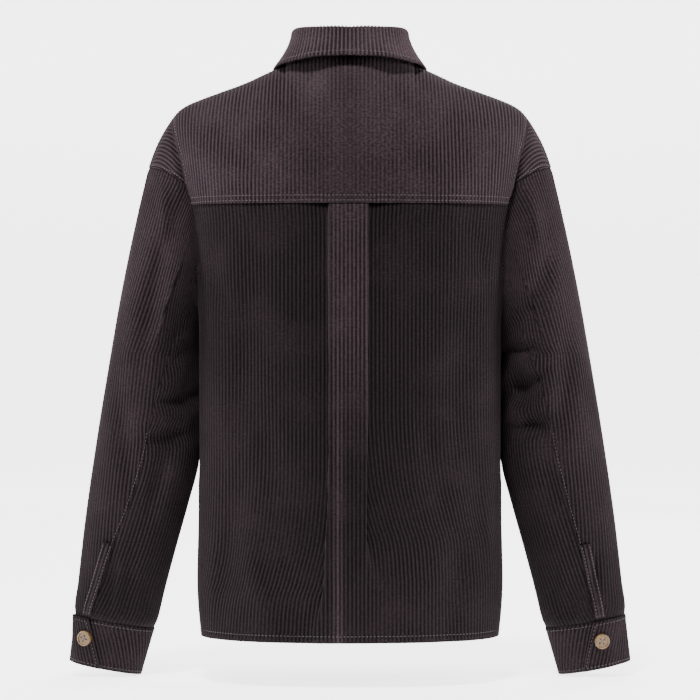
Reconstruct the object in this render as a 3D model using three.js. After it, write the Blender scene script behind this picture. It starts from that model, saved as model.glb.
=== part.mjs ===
// Shacket in wide-wale corduroy: turned-down collar, yoke, back box pleat, dropped shoulders,
// two-piece sleeves with buttoned cuffs. Millimetres, +Z up, +Y to the wearer's front,
// +X to the wearer's right, zero at the base of the neck between the shoulders.
import * as THREE from "three";

// Cloth and seams
const clothThickness = 2;
const seamGap = 0.3;
const lapLift = 3.2;
const samePlace = 1e-6;

// Levels
const hemZ = -657;
const yokeSeamZ = -161;
const armholeLowZ = -280;

// Neckline, seen from above an oval with a deeper front
const neckHalf = 76;
const neckBack = 60;
const neckFront = 72;
const neckSideZ = 8;
const neckBackRise = 12;
const neckFrontDrop = 68;

// Body sections from hem to shoulder: half width, depths behind and before, squareness
const BODY = [
  { z: -657, half: 174, back: 118, front: 124, round: 2.4 },
  { z: -620, half: 177.5, back: 119, front: 125, round: 2.4 },
  { z: -590, half: 178.5, back: 119, front: 125, round: 2.42 },
  { z: -520, half: 177, back: 118, front: 125, round: 2.45 },
  { z: -450, half: 177, back: 117, front: 125, round: 2.5 },
  { z: -325, half: 177, back: 117, front: 126, round: 2.6 },
  { z: -280, half: 177.3, back: 117, front: 126, round: 2.65 },
  { z: -250, half: 179.5, back: 117, front: 126, round: 2.7 },
  { z: -195, half: 183.5, back: 116, front: 125, round: 2.75 },
  { z: -161, half: 187.5, back: 116, front: 124, round: 2.8 },
  { z: -139, half: 193, back: 115, front: 123, round: 2.8 },
  { z: -103, half: 202, back: 114, front: 121, round: 2.8 },
  { z: -68, half: 212, back: 112, front: 118, round: 2.8 },
  { z: -53, half: 216, back: 112, front: 118, round: 2.8 },
];

// Shoulder line outward from the neck
const RIDGE = [
  { x: 76, z: 8 },
  { x: 95, z: 0 },
  { x: 122, z: -12.6 },
  { x: 153, z: -24 },
  { x: 187, z: -37 },
  { x: 200, z: -45 },
  { x: 207, z: -53 },
  { x: 212, z: -60 },
];

// Fold over the shoulder end, above the yoke seam, where body turns into cap
const CREASE = [
  { z: -161, x: 182 },
  { z: -139, x: 189 },
  { z: -119, x: 193 },
  { z: -103, x: 196 },
  { z: -92, x: 199.5 },
  { z: -68, x: 206 },
  { z: -53, x: 207 },
];
const shoulderEndX = 207;

// Armhole seam below the yoke: how far behind and before the side it runs
const ARMHOLE = [
  { z: -280, back: 0, front: 0 },
  { z: -277, back: 14, front: 15 },
  { z: -268, back: 27, front: 29 },
  { z: -250, back: 38, front: 41 },
  { z: -220, back: 46, front: 49 },
  { z: -190, back: 48, front: 51 },
  { z: -161, back: 47, front: 50.3 },
];

// Dropped shoulder seam from its outer end to the crease, as parts of its length
const DROP_SEAM = [
  { along: 0, x: 236, y: 0, z: -112 },
  { along: 0.2, x: 229, y: 14, z: -112.6 },
  { along: 0.42, x: 218, y: 27, z: -116 },
  { along: 0.67, x: 205, y: 38, z: -123 },
  { along: 0.88, x: 194, y: 43, z: -131.5 },
];
const capBulge = 3;
const capCells = 3;

// Box pleat at centre back: half width, layer spacing and how the under fold runs out to the hem
const boxHalf = 20.2;
const layerStep = 2.9;
const foldSteps = 3;
const softestFold = 25;
const pleatReach = 60;
const pleatSinkDepth = 30;
const PLEAT = [
  { z: -657, under: 0, turn: 12 },
  { z: -650, under: 0, turn: 20 },
  { z: -630, under: 0, turn: 50 },
  { z: -610, under: 0, turn: 110 },
  { z: -590, under: 1, turn: 180 },
  { z: -540, under: 10, turn: 180 },
  { z: -480, under: 17, turn: 180 },
  { z: -460, under: 18, turn: 180 },
  { z: -161, under: 18, turn: 180 },
];

// Sleeve rings: centre, half width, half depth, squareness of the inner side, tilt in degrees
const SLEEVE = [
  { z: -330, x: 227.6, y: 14, half: 53.4, deep: 72, inner: 1.6, tilt: 0 },
  { z: -390, x: 232.6, y: 17, half: 58.4, deep: 69, inner: 1.6, tilt: 2 },
  { z: -450, x: 238.7, y: 20, half: 61.7, deep: 64, inner: 1.7, tilt: 4 },
  { z: -500, x: 249, y: 24, half: 59, deep: 59, inner: 1.9, tilt: 6 },
  { z: -541, x: 257.7, y: 27, half: 56, deep: 55, inner: 2, tilt: 7 },
  { z: -580, x: 265.5, y: 31, half: 53, deep: 51, inner: 2, tilt: 8 },
  { z: -609, x: 271, y: 33, half: 51, deep: 47, inner: 2, tilt: 9 },
  { z: -630, x: 275.2, y: 34.3, half: 50.3, deep: 43, inner: 2, tilt: 9.4 },
  { z: -644.6, x: 278, y: 35, half: 48.2, deep: 36, inner: 2, tilt: 9.6 },
  { z: -699.6, x: 289.2, y: 38, half: 43.4, deep: 32, inner: 2, tilt: 11 },
];
const sleeveTopZ = -330;
const cuffSeamZ = -644.6;
const cuffEdgeZ = -699.6;
const sleeveLead = 0.45;
const underarmEase = 4;
const frontSeamTurn = -130;

// Back sleeve seam, degrees round the sleeve from its outer side
const SLEEVE_SEAM = [
  { z: -330, right: 117, left: 117 },
  { z: -395, right: 98, left: 98 },
  { z: -444, right: 92, left: 92 },
  { z: -511, right: 88, left: 84 },
  { z: -551, right: 84, left: 75 },
  { z: -600, right: 81, left: 66 },
  { z: -644.6, right: 79, left: 57 },
];
const slitTopZ = -553;
const placketTurn = 12;
const placketGap = 1.1;

// Cuff lap, degrees round from the outer side: free edge above and below, and the button
const CUFF_LAP = {
  right: { above: 82, below: 110, button: 76 },
  left: { above: 54, below: 85, button: 55 },
};
const cuffOverlap = 30;
const cuffButtonAt = 0.42;

// Side of the body pressed in where the sleeve hangs against it
const PRESS = [
  { z: -480, deep: 0 },
  { z: -450, deep: 6 },
  { z: -310, deep: 6 },
  { z: -292, deep: 4.5 },
  { z: -280, deep: 0 },
];
const pressY = 14;
const pressSpread = 26;

// Collar round the neck from centre back: stand height, lean inward, roll and the fall's lower edge
const COLLAR = [
  { turn: 0, stand: 21, lean: 3, roll: 3.5, x: 0, y: -80, z: 13 },
  { turn: 30, stand: 22, lean: 5, roll: 3.5, x: 44, y: -73, z: 11.5 },
  { turn: 50, stand: 25, lean: 8, roll: 3.6, x: 66, y: -58, z: 7.5 },
  { turn: 70, stand: 29, lean: 11, roll: 3.8, x: 84, y: -34, z: 5.5 },
  { turn: 90, stand: 30, lean: 12, roll: 4, x: 92, y: -4, z: 4 },
  { turn: 110, stand: 29, lean: 12, roll: 4, x: 93, y: 26, z: 0 },
  { turn: 130, stand: 27, lean: 10, roll: 4, x: 88, y: 56, z: -15 },
  { turn: 150, stand: 25, lean: 8, roll: 3.8, x: 76, y: 84, z: -43 },
  { turn: 165, stand: 23, lean: 7, roll: 3.6, x: 64, y: 104, z: -76 },
  { turn: 176, stand: 22, lean: 6, roll: 3.5, x: 56, y: 108, z: -88 },
  { turn: 190, stand: 22, lean: 6, roll: 3.5, x: 56, y: 108, z: -88 },
];
const collarEndTurn = 170;
const standEndTurn = 189;
const standLapLift = 2.8;
const standFootGap = 0.8;
const fallGap = 1.1;
const collarClear = 3;

// Largest soft folds of the back: place in the view from behind, lean in degrees, size, depth
const BODY_FOLDS = [
  { side: -1, x: 138, z: -560, lean: 8, long: 70, wide: 16, deep: 5 },
  { side: 1, x: 120, z: -585, lean: -10, long: 60, wide: 16, deep: 3.5 },
  { side: -1, x: 118, z: -330, lean: 4, long: 110, wide: 20, deep: 3 },
  { side: 1, x: 126, z: -350, lean: -5, long: 110, wide: 20, deep: 3 },
  { side: -1, x: 160, z: -235, lean: -24, long: 50, wide: 12, deep: 4 },
  { side: 1, x: 160, z: -240, lean: 24, long: 50, wide: 12, deep: 4 },
];
const SLEEVE_FOLDS = [
  { side: 1, x: 196, z: -362, lean: 22, long: 44, wide: 12, deep: 7 },
  { side: 1, x: 222, z: -420, lean: 40, long: 40, wide: 12, deep: 5 },
  { side: -1, x: 200, z: -405, lean: 52, long: 38, wide: 12, deep: 7 },
  { side: -1, x: 232, z: -300, lean: 12, long: 60, wide: 14, deep: 4 },
  { side: 1, x: 262, z: -608, lean: -14, long: 32, wide: 9, deep: 4 },
  { side: -1, x: 258, z: -604, lean: 10, long: 34, wide: 9, deep: 4 },
];

// Buttons
const buttonRadius = 9;
const buttonThickness = 2.6;
const buttonGap = 0.5;
const buttonHoleRadius = 1.1;
const buttonHoleSpread = 2.3;
const buttonSides = 18;
const holeSides = 6;
const holeTurn = 0.27;
const FRONT_BUTTON_Z = [-92, -188, -284, -380, -476, -572];
const standButtonRise = 11;

const clothColor = 0x4a3f40;
const buttonColor = 0x9c8558;

// Rows and columns
const LOWER_LEVELS = [-161, -190, -220, -250, -268, -277, -280, -305, -335, -370, -405, -440, -470,
  -500, -530, -560, -590, -615, -637, -657];
const BACK_TURNS = [90, 80, 70, 58, 46, 34, 22, 10.3, 0];
const FRONT_TURNS = [90, 81, 71, 62, 48, 34, 20, 10.3];
const frontYokeTurn = 62;
const frontYokeNeckX = 69;
const frontSeamCurve = 0.22;
const YOKE_SPLITS = [0, 0.31, 0.59, 0.81, 0.95, 1];
const SHOULDER_SPLITS = [0, 0.07, 0.16, 0.3, 0.46, 0.62, 0.77, 0.9, 1];
const FRONT_EDGE_X = [-14, -4, 6, 18, 32, 45, 56];
const frontPlainX = 45;
const SLEEVE_TOP_STEPS = [0, 0.2, 0.42, 0.64, 0.84];
const SLEEVE_LEVELS = [-330, -355, -380, -405, -430, -460, -490, -520, -550, -580, -605, -627, -644.6];

const radians = THREE.MathUtils.degToRad;
const mix = THREE.MathUtils.lerp;

function point(x, y, z) {
  return new THREE.Vector3(x, y, z);
}

function between(a, b, part) {
  return a.clone().lerp(b, part);
}

function ease(from, to, at) {
  return THREE.MathUtils.smoothstep((at - from) / (to - from), 0, 1);
}

// Smooth curve through one column of a table
function lookup(rows, key, field, at) {
  const sorted = rows[0][key] < rows[rows.length - 1][key] ? rows : [...rows].reverse();
  const last = sorted.length - 1;
  if (at <= sorted[0][key]) return sorted[0][field];
  if (at >= sorted[last][key]) return sorted[last][field];
  let i = 0;
  while (at > sorted[i + 1][key]) i += 1;
  const slope = (j) => {
    const a = sorted[Math.max(j - 1, 0)];
    const b = sorted[Math.min(j + 1, last)];
    return (b[field] - a[field]) / (b[key] - a[key]);
  };
  const span = sorted[i + 1][key] - sorted[i][key];
  const t = (at - sorted[i][key]) / span;
  const rise = t * t * (3 - 2 * t);
  const leave = t * (1 - t) * (1 - t) * span * slope(i);
  const arrive = t * t * (t - 1) * span * slope(i + 1);
  return mix(sorted[i][field], sorted[i + 1][field], rise) + leave + arrive;
}

// How deep the listed folds press the cloth at a place in the view from behind
function foldDepth(folds, side, x, z) {
  let depth = 0;
  for (const fold of folds) {
    if (fold.side !== side) continue;
    const lean = radians(fold.lean);
    const dx = x - fold.x;
    const dz = z - fold.z;
    const across = dx * Math.cos(lean) + dz * Math.sin(lean);
    const along = dz * Math.cos(lean) - dx * Math.sin(lean);
    depth += fold.deep * Math.exp(-((across / fold.wide) ** 2) - (along / fold.long) ** 2);
  }
  return depth;
}

function sectionDepth(x, z, face) {
  const half = lookup(BODY, "z", "half", z);
  const round = lookup(BODY, "z", "round", z);
  const part = Math.min(Math.abs(x) / half, 1);
  return lookup(BODY, "z", face, z) * (1 - part ** round) ** (1 / round);
}

function pressedIn(y, z) {
  return lookup(PRESS, "z", "deep", z) * Math.exp(-(((y - pressY) / pressSpread) ** 2));
}

// Body below the yoke seam, by angle from the centre line to the side
function lowerPoint(z, face, turn, inset = 0) {
  const half = lookup(BODY, "z", "half", z) - inset;
  const depth = lookup(BODY, "z", face, z) - inset;
  const power = 2 / lookup(BODY, "z", "round", z);
  const y = (face === "back" ? -1 : 1) * depth * Math.max(Math.cos(turn), 0) ** power;
  return point(half * Math.sin(turn) ** power - pressedIn(y, z), y, z);
}

function turnAtX(x, z) {
  const part = Math.min(Math.abs(x) / lookup(BODY, "z", "half", z), 1);
  return Math.sign(x) * Math.asin(part ** (lookup(BODY, "z", "round", z) / 2));
}

function turnAtEdge(z, face) {
  if (z <= armholeLowZ) return Math.PI / 2;
  const part = lookup(ARMHOLE, "z", face, z) / lookup(BODY, "z", face, z);
  return Math.acos(part ** (lookup(BODY, "z", "round", z) / 2));
}

// Neckline at a distance from the centre line
function neckAtX(x, face) {
  const rest = Math.sqrt(Math.max(1 - (x / neckHalf) ** 2, 0));
  if (face === "back") return point(x, -neckBack * rest, neckSideZ + neckBackRise * rest ** 2);
  return point(x, neckFront * rest, neckSideZ - neckFrontDrop * rest ** 1.4);
}

function topAtX(x, face) {
  if (Math.abs(x) < neckHalf) return neckAtX(x, face);
  return point(x, 0, lookup(RIDGE, "x", "z", Math.abs(x)));
}

// Body above the yoke seam: turn 0 is the seam's level, 90 the neckline or shoulder line
function upperPoint(x, turn, face) {
  const top = topAtX(x, face);
  const rise = Math.sin(radians(turn));
  const z = yokeSeamZ + (top.z - yokeSeamZ) * rise;
  const outer = ease(30, 100, Math.abs(x));
  const fullness = Math.max(1 - rise ** mix(2.5, 2, outer), 0) ** mix(1, 0.5, outer);
  const start = Math.abs(top.y);
  const y = start + (sectionDepth(x, z, face) - start) * fullness;
  return point(x, face === "back" ? -y : y, z);
}

function creaseX(turn) {
  let x = shoulderEndX;
  for (let i = 0; i < 30; i += 1) {
    const top = lookup(RIDGE, "x", "z", x);
    x = lookup(CREASE, "z", "x", yokeSeamZ + (top - yokeSeamZ) * Math.sin(radians(turn)));
  }
  return x;
}

// Crease points from the shoulder line down to where cap and crease meet, with the drop seam's
function creaseRows(face) {
  const turns = (face === "back" ? BACK_TURNS : FRONT_TURNS).filter((turn) => turn > 0);
  const folds = turns.map((turn) => upperPoint(creaseX(turn), turn, face));
  const lengths = [0];
  for (let i = 1; i < folds.length; i += 1) {
    lengths.push(lengths[i - 1] + folds[i].distanceTo(folds[i - 1]));
  }
  const meet = folds[folds.length - 1];
  const seam = [...DROP_SEAM, { along: 1, x: meet.x, y: Math.abs(meet.y), z: meet.z }];
  const side = face === "back" ? -1 : 1;
  return folds.map((fold, i) => {
    const along = lengths[i] / lengths[lengths.length - 1];
    const at = (field) => lookup(seam, "along", field, along);
    return { turn: turns[i], along, fold, drop: point(at("x"), side * at("y"), at("z")) };
  });
}

// Cap cells that carry a body row on from the crease to the drop seam
function capPoints(row, start, face) {
  const side = face === "back" ? -1 : 1;
  const out = point(0.9 * (1 - row.along), side * row.along, 0.44 * (1 - row.along)).normalize();
  const points = [];
  for (let i = 1; i <= capCells; i += 1) {
    const part = i / capCells;
    const lift = capBulge * Math.sin(Math.PI * part) * Math.sqrt(Math.max(1 - row.along, 0));
    points.push(between(start, row.drop, part).addScaledVector(out, lift));
  }
  return points;
}

// A copy of a grid point that keeps its normal
function copied(p, moved = p.clone()) {
  moved.normal = p.normal;
  return moved;
}

// Moves one edge of a grid in by half a seam gap
function trimRow(row, towards) {
  return row.map((p, i) => {
    const reach = p.distanceTo(towards[i]);
    return reach < samePlace ? copied(p) : copied(p, between(p, towards[i], seamGap / 2 / reach));
  });
}

function trimRowEnd(row) {
  const end = row[row.length - 1];
  const inner = [...row].reverse().find((p) => p.distanceTo(end) > samePlace);
  const moved = between(end, inner, seamGap / 2 / end.distanceTo(inner));
  return row.map((p) => (p.distanceTo(end) > samePlace ? p : copied(p, moved.clone())));
}

function trimmed(rows, edges) {
  let grid = rows.map((row) => row.map((p) => copied(p)));
  const last = grid.length - 1;
  if (edges.includes("end")) grid = grid.map(trimRowEnd);
  if (edges.includes("start")) grid = grid.map((row) => trimRowEnd([...row].reverse()).reverse());
  if (edges.includes("first")) grid[0] = trimRow(grid[0], grid[1]);
  if (edges.includes("last")) grid[last] = trimRow(grid[last], grid[last - 1]);
  return grid;
}

function mirroredRows(rows) {
  const flip = point(-1, 1, 1);
  return rows.map((row) => row.map((p) => {
    const other = p.clone().multiply(flip);
    if (p.normal) other.normal = p.normal.clone().multiply(flip);
    return other;
  }).reverse());
}

// Turns a four-cornered face so that it is split along its shorter diagonal
function shorterSplit(face, points) {
  if (face.length < 4) return face;
  const [a, b, c, d] = face.map((corner) => points[corner]);
  return a.distanceTo(c) <= b.distanceTo(d) + samePlace ? face : [...face.slice(1), face[0]];
}

// Joins grids into one surface, points that meet becoming one
function surface(grids) {
  const points = [];
  const known = new Map();
  const faces = [];
  const indexOf = (p) => {
    const key = [p.x, p.y, p.z].map((value) => Math.round(value * 1000)).join(",");
    if (!known.has(key)) {
      known.set(key, points.length);
      points.push(copied(p));
    }
    return known.get(key);
  };
  for (const rows of grids) {
    for (let r = 0; r + 1 < rows.length; r += 1) {
      for (let c = 0; c + 1 < rows[r].length; c += 1) {
        const corners = [rows[r][c], rows[r][c + 1], rows[r + 1][c + 1], rows[r + 1][c]].map(indexOf);
        const face = corners.filter((corner, i) => corner !== corners[(i + 1) % 4]);
        if (new Set(face).size > 2) faces.push(shorterSplit(face, points));
      }
    }
  }
  return { points, faces, indexOf };
}

// Gives grid points the normals of the whole surface, the neighbouring grids' cells counted in
function shade(grids, neighbours = []) {
  const sheet = surface([...grids, ...neighbours]);
  const normals = pointNormals(sheet);
  grids.flat(2).forEach((p) => {
    p.normal = normals[sheet.indexOf(p)];
  });
}

// Squares the wall's edge where front and back meet at the side and at the yoke seam
function squareSeams(rows) {
  rows.forEach((row) => row.forEach((p) => {
    const normal = p.normal.clone();
    if (Math.abs(p.y) < samePlace && p.z <= armholeLowZ) normal.y = 0;
    if (p.z === yokeSeamZ) normal.z = 0;
    p.normal = normal.normalize();
  }));
}

function pointNormals({ points, faces }) {
  const normals = points.map(() => point(0, 0, 0));
  for (const face of faces) {
    const across = points[face[2]].clone().sub(points[face[0]]);
    const other = points[face[face.length - 1]].clone().sub(points[face[1]]);
    const normal = across.cross(other);
    face.forEach((corner) => normals[corner].add(normal));
  }
  return normals.map((normal) => normal.normalize());
}

// Closed wall on a surface, so thick outward of it and so thick inward
function wall(grids, outward, inward) {
  const sheet = surface(grids);
  const own = pointNormals(sheet);
  const normals = sheet.points.map((p, i) => p.normal ?? own[i]);
  const count = sheet.points.length;
  const outer = sheet.points.map((p, i) => p.clone().addScaledVector(normals[i], outward));
  const inner = sheet.points.map((p, i) => p.clone().addScaledVector(normals[i], -inward));
  const triangles = [];
  const edges = new Map();
  for (const face of sheet.faces) {
    for (let i = 1; i + 1 < face.length; i += 1) {
      triangles.push(face[0], face[i], face[i + 1]);
      triangles.push(count + face[0], count + face[i + 1], count + face[i]);
    }
    face.forEach((from, i) => {
      const to = face[(i + 1) % face.length];
      if (!edges.delete(`${to},${from}`)) edges.set(`${from},${to}`, [from, to]);
    });
  }
  for (const [from, to] of edges.values()) {
    triangles.push(from, count + from, count + to, from, count + to, to);
  }
  const geometry = new THREE.BufferGeometry();
  geometry.setFromPoints([...outer, ...inner]);
  geometry.setIndex(triangles);
  geometry.computeVertexNormals();
  return geometry;
}

// Half of the box pleat at one level, from centre back: distance out and lift off the body
function pleatPath(z) {
  const under = Math.max(lookup(PLEAT, "z", "under", z), 0);
  const turn = radians(Math.min(lookup(PLEAT, "z", "turn", z), 180));
  const radius = Math.min(layerStep / (1 - Math.cos(turn)), softestFold);
  const height = 2 * radius * (1 - Math.cos(turn));
  const path = [{ x: 0, lift: height }, { x: boxHalf / 2, lift: height }, { x: boxHalf, lift: height }];
  for (let i = 1; i <= foldSteps; i += 1) {
    const a = (turn * i) / foldSteps;
    path.push({ x: boxHalf + radius * Math.sin(a), lift: height - radius * (1 - Math.cos(a)) });
  }
  const midX = boxHalf + radius * Math.sin(turn) + under * Math.cos(turn);
  const midLift = height / 2;
  path.push({ x: midX, lift: midLift });
  for (let i = 1; i <= foldSteps; i += 1) {
    const a = turn * (1 - i / foldSteps);
    const x = midX + radius * (Math.sin(turn) - Math.sin(a));
    path.push({ x, lift: midLift - radius * (Math.cos(a) - Math.cos(turn)) });
  }
  const foot = path[path.length - 1].x;
  const sink = height * ease(-pleatSinkDepth, 0, z - yokeSeamZ);
  const sunk = path.map((p) => ({ x: p.x, lift: p.lift - sink }));
  for (const part of [0.3, 0.65, 1]) {
    sunk.push({ x: mix(foot, pleatReach, part), lift: -sink * (1 - ease(0, 1, part)) });
  }
  return sunk;
}

function backPanel() {
  const inset = clothThickness / 2;
  const outerCells = 8;
  const halfGrid = (side) => [...LOWER_LEVELS].reverse().map((z) => {
    const row = pleatPath(z).map((p) => {
      const base = lowerPoint(z, "back", turnAtX(p.x, z), inset);
      return point(p.x, base.y - p.lift, z);
    });
    const from = turnAtX(pleatReach, z);
    const to = turnAtEdge(z, "back");
    for (let i = 1; i <= outerCells; i += 1) {
      row.push(lowerPoint(z, "back", mix(from, to, i / outerCells), inset));
    }
    row.forEach((p) => {
      p.y += foldDepth(BODY_FOLDS, side, p.x, z) * ease(pleatReach, 90, p.x) * ease(162, 140, p.x);
    });
    return row;
  });
  const right = halfGrid(1);
  const left = mirroredRows(halfGrid(-1));
  shade([right, left]);
  [right, left].forEach(squareSeams);
  return wall([trimmed(right, ["end", "last"]), trimmed(left, ["start", "last"])], inset, inset);
}

// The yoke: over the back and shoulders to a seam just forward of the shoulder line
function yokeGrids() {
  const backCrease = creaseRows("back");
  const frontCrease = creaseRows("front");
  const neckPart = neckHalf / shoulderEndX;
  const inner = YOKE_SPLITS.map((part) => part * neckPart);
  const outer = SHOULDER_SPLITS.slice(1).map((part) => mix(neckPart, 1, part));
  const back = [...BACK_TURNS].reverse().map((turn) => {
    const edge = creaseX(turn);
    const row = [...inner, ...outer].map((part) => upperPoint(part * edge, turn, "back"));
    const crease = backCrease.find((entry) => entry.turn === turn) ?? backCrease.at(-1);
    const end = row[row.length - 1];
    const cap = turn > backCrease.at(-1).turn ? capPoints(crease, end, "back") : [];
    while (cap.length < capCells) cap.push(end.clone());
    return [...row, ...cap];
  });
  const front = frontCrease.filter((entry) => entry.turn >= frontYokeTurn).map((entry) => {
    const part = (90 - entry.turn) / (90 - frontYokeTurn);
    const row = SHOULDER_SPLITS.map((out) => frontYokePoint(out, part));
    return [...row, ...capPoints(entry, row[row.length - 1], "front")];
  });
  return [back, front];
}

function yoke() {
  const [back, front] = yokeGrids();
  const sides = [back, front, mirroredRows(back), mirroredRows(front)];
  const around = [...sleeveSide("right"), frontPanel(0)];
  shade(sides, [...around, ...around.map(mirroredRows)]);
  squareSeams(back);
  const backGrid = trimmed(back, ["end", "first"]);
  const frontGrid = trimmed(trimmed(front, ["last"]), ["end", "last"]);
  const neckEdge = YOKE_SPLITS.length - 1;
  frontGrid[0] = backGrid[backGrid.length - 1].slice(neckEdge).map((p) => copied(p));
  const grids = [backGrid, frontGrid];
  return wall([...grids, ...grids.map(mirroredRows)], 0, clothThickness);
}

// Between shoulder line (part 0) and front yoke seam (part 1), from neck (0) to crease (1)
function frontYokePoint(out, part) {
  const turn = 90 - (90 - frontYokeTurn) * part * out ** frontSeamCurve;
  const neckX = mix(neckHalf, frontYokeNeckX, part);
  return upperPoint(mix(neckX, creaseX(turn), out), turn, "front");
}

// One front, drawn for the wearer's right; lift carries the lapping edge over the other front
function frontPanel(lift) {
  const crease = creaseRows("front").filter((entry) => entry.turn <= frontYokeTurn);
  const yokeFrom = frontYokeNeckX;
  const seamSplits = SHOULDER_SPLITS;
  const upper = [...crease, { turn: 0, along: 1 }].map((entry) => {
    const part = 1 - entry.turn / frontYokeTurn;
    const row = FRONT_EDGE_X.map((x) => upperPoint(x, 90 * (1 - part), "front"));
    seamSplits.forEach((out) => {
      const top = 90 - (90 - frontYokeTurn) * out ** frontSeamCurve;
      const turn = top * (1 - part);
      row.push(upperPoint(mix(yokeFrom + 5 * part, creaseX(turn), out), turn, "front"));
    });
    const end = row[row.length - 1];
    const cap = entry.along < 1 ? capPoints(entry, end, "front") : [];
    while (cap.length < capCells) cap.push(end.clone());
    return [...row, ...cap];
  });
  const levelRow = upper[upper.length - 1];
  const from = turnAtX(frontPlainX, yokeSeamZ);
  const to = turnAtEdge(yokeSeamZ, "front");
  const lower = LOWER_LEVELS.slice(1).map((z) => levelRow.map((top) => {
    if (top.x <= frontPlainX) return lowerPoint(z, "front", 0, 0).setX(top.x).setY(sectionDepth(top.x, z, "front"));
    const part = Math.min((turnAtX(top.x, yokeSeamZ) - from) / (to - from), 1);
    const turn = mix(turnAtX(frontPlainX, z), turnAtEdge(z, "front"), part);
    return lowerPoint(z, "front", turn);
  }));
  const rows = [...upper, ...lower];
  rows.forEach((row) => row.forEach((p) => {
    p.y += lift * ease(frontPlainX, FRONT_EDGE_X[3], p.x);
  }));
  return rows;
}

function front(lift) {
  const rows = frontPanel(lift);
  shade([rows], yokeGrids());
  squareSeams(rows);
  return wall([trimmed(trimmed(rows, ["first"]), ["end", "first"])], 0, clothThickness);
}

function sleeveRing(z) {
  const row = {};
  for (const field of ["x", "y", "half", "deep", "inner", "tilt"]) {
    row[field] = lookup(SLEEVE, "z", field, z);
  }
  return { z, ...row };
}

// Sleeve or cuff surface by level and degrees round: 0 outer side, positive behind
function tubePoint(z, turn, lift = 0) {
  const ring = sleeveRing(z);
  const angle = radians(turn);
  const power = Math.cos(angle) < 0 ? 2 / ring.inner : 1;
  const across = Math.sign(Math.cos(angle)) * Math.abs(Math.cos(angle)) ** power * (ring.half + lift);
  const back = Math.sign(Math.sin(angle)) * Math.abs(Math.sin(angle)) ** power * (ring.deep + lift);
  const tilt = radians(ring.tilt);
  return point(ring.x + across * Math.cos(tilt), ring.y - back, z + across * Math.sin(tilt));
}

// Armhole and drop seam as one loop, from the underarm up the back, over and down the front
function armholeLoop() {
  const levels = LOWER_LEVELS.filter((z) => z >= armholeLowZ).reverse();
  const lower = (face) => levels.map((z) => lowerPoint(z, face, turnAtEdge(z, face)));
  const upper = (face) => creaseRows(face).map((entry) => entry.drop);
  const back = [...lower("back"), ...upper("back").reverse()];
  const front = [...upper("front").slice(1), ...lower("front").reverse().slice(0, -1)];
  return { points: [...back, ...front], top: back.length - 1 };
}

// Degrees round the sleeve for each point of the loop, by its share of the length
function loopTurns(loop) {
  const turns = [];
  const half = (points) => {
    const lengths = [0];
    for (let i = 1; i < points.length; i += 1) {
      lengths.push(lengths[i - 1] + points[i].distanceTo(points[i - 1]));
    }
    return lengths.map((length) => length / lengths[lengths.length - 1]);
  };
  const back = half(loop.points.slice(0, loop.top + 1));
  const front = half([...loop.points.slice(loop.top), loop.points[0]]);
  back.forEach((part) => turns.push(180 * (1 - part)));
  front.slice(1, -1).forEach((part) => turns.push(-180 * part));
  return turns;
}

// One sleeve piece as a grid, for the wearer's right, between two points of the armhole loop
function sleeveGrid(sideName, piece) {
  const side = sideName === "right" ? 1 : -1;
  const loop = armholeLoop();
  const turns = loopTurns(loop);
  const order = turns.map((turn, i) => ({ turn, top: loop.points[i] })).sort((a, b) => a.turn - b.turn);
  const nearest = (wanted) => order.reduce((best, entry) => (
    Math.abs(entry.turn - wanted) < Math.abs(best.turn - wanted) ? entry : best));
  const backStart = nearest(118).turn;
  const frontStart = nearest(frontSeamTurn).turn;
  let columns;
  if (piece === "upper") {
    columns = order.filter((entry) => entry.turn >= frontStart && entry.turn <= backStart);
  } else {
    const behind = order.filter((entry) => entry.turn >= backStart);
    const before = order.filter((entry) => entry.turn <= frontStart);
    columns = [...behind, ...before.map((entry) => ({ turn: entry.turn + 360, top: entry.top }))];
  }
  const first = columns[0].turn;
  const last = columns[columns.length - 1].turn;
  const turnAt = (turn, z) => {
    const back = lookup(SLEEVE_SEAM, "z", sideName, z);
    const part = (turn - first) / (last - first);
    return piece === "upper" ? mix(frontSeamTurn, back, part) : mix(back, frontSeamTurn + 360, part);
  };
  const pressed = (p) => {
    const weight = ease(armholeLowZ + 20, sleeveTopZ, p.z) * ease(cuffSeamZ, cuffSeamZ + 16, p.z);
    const facing = ease(-10, -30, p.y - lookup(SLEEVE, "z", "y", p.z));
    p.y += foldDepth(SLEEVE_FOLDS, side, p.x, p.z) * facing * weight;
    return p;
  };
  const upperRows = SLEEVE_TOP_STEPS.map((part) => columns.map((column) => {
    const end = tubePoint(sleeveTopZ, turnAt(column.turn, sleeveTopZ));
    const next = tubePoint(sleeveTopZ - 10, turnAt(column.turn, sleeveTopZ - 10));
    const lead = end.clone().sub(next).setLength(sleeveLead * end.distanceTo(column.top));
    const control = end.clone().add(lead);
    control.x += underarmEase * ease(110, 150, Math.abs(180 - Math.abs(180 - column.turn)));
    const a = between(column.top, control, part);
    return between(a, between(control, end, part), part);
  }));
  const lowerRows = SLEEVE_LEVELS.map((z) => columns.map((column) => (
    pressed(tubePoint(z, turnAt(column.turn, z))))));
  return [...upperRows, ...lowerRows];
}

function sleeveSide(sideName) {
  return [sleeveGrid(sideName, "upper"), sleeveGrid(sideName, "under")];
}

function sleeve(sideName, piece) {
  const grids = sleeveSide(sideName);
  shade(grids, [...yokeGrids(), frontPanel(0)].map((rows) => rows.map((row) => row.slice(-capCells - 1))));
  const rows = grids[piece === "upper" ? 0 : 1];
  return wall([trimmed(rows, ["first", "last", "start", "end"])], 0, clothThickness);
}

function cuffTurn(sideName, part, down) {
  const lap = CUFF_LAP[sideName];
  return mix(lap.above, lap.below, down) - part * (360 + cuffOverlap);
}

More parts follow.
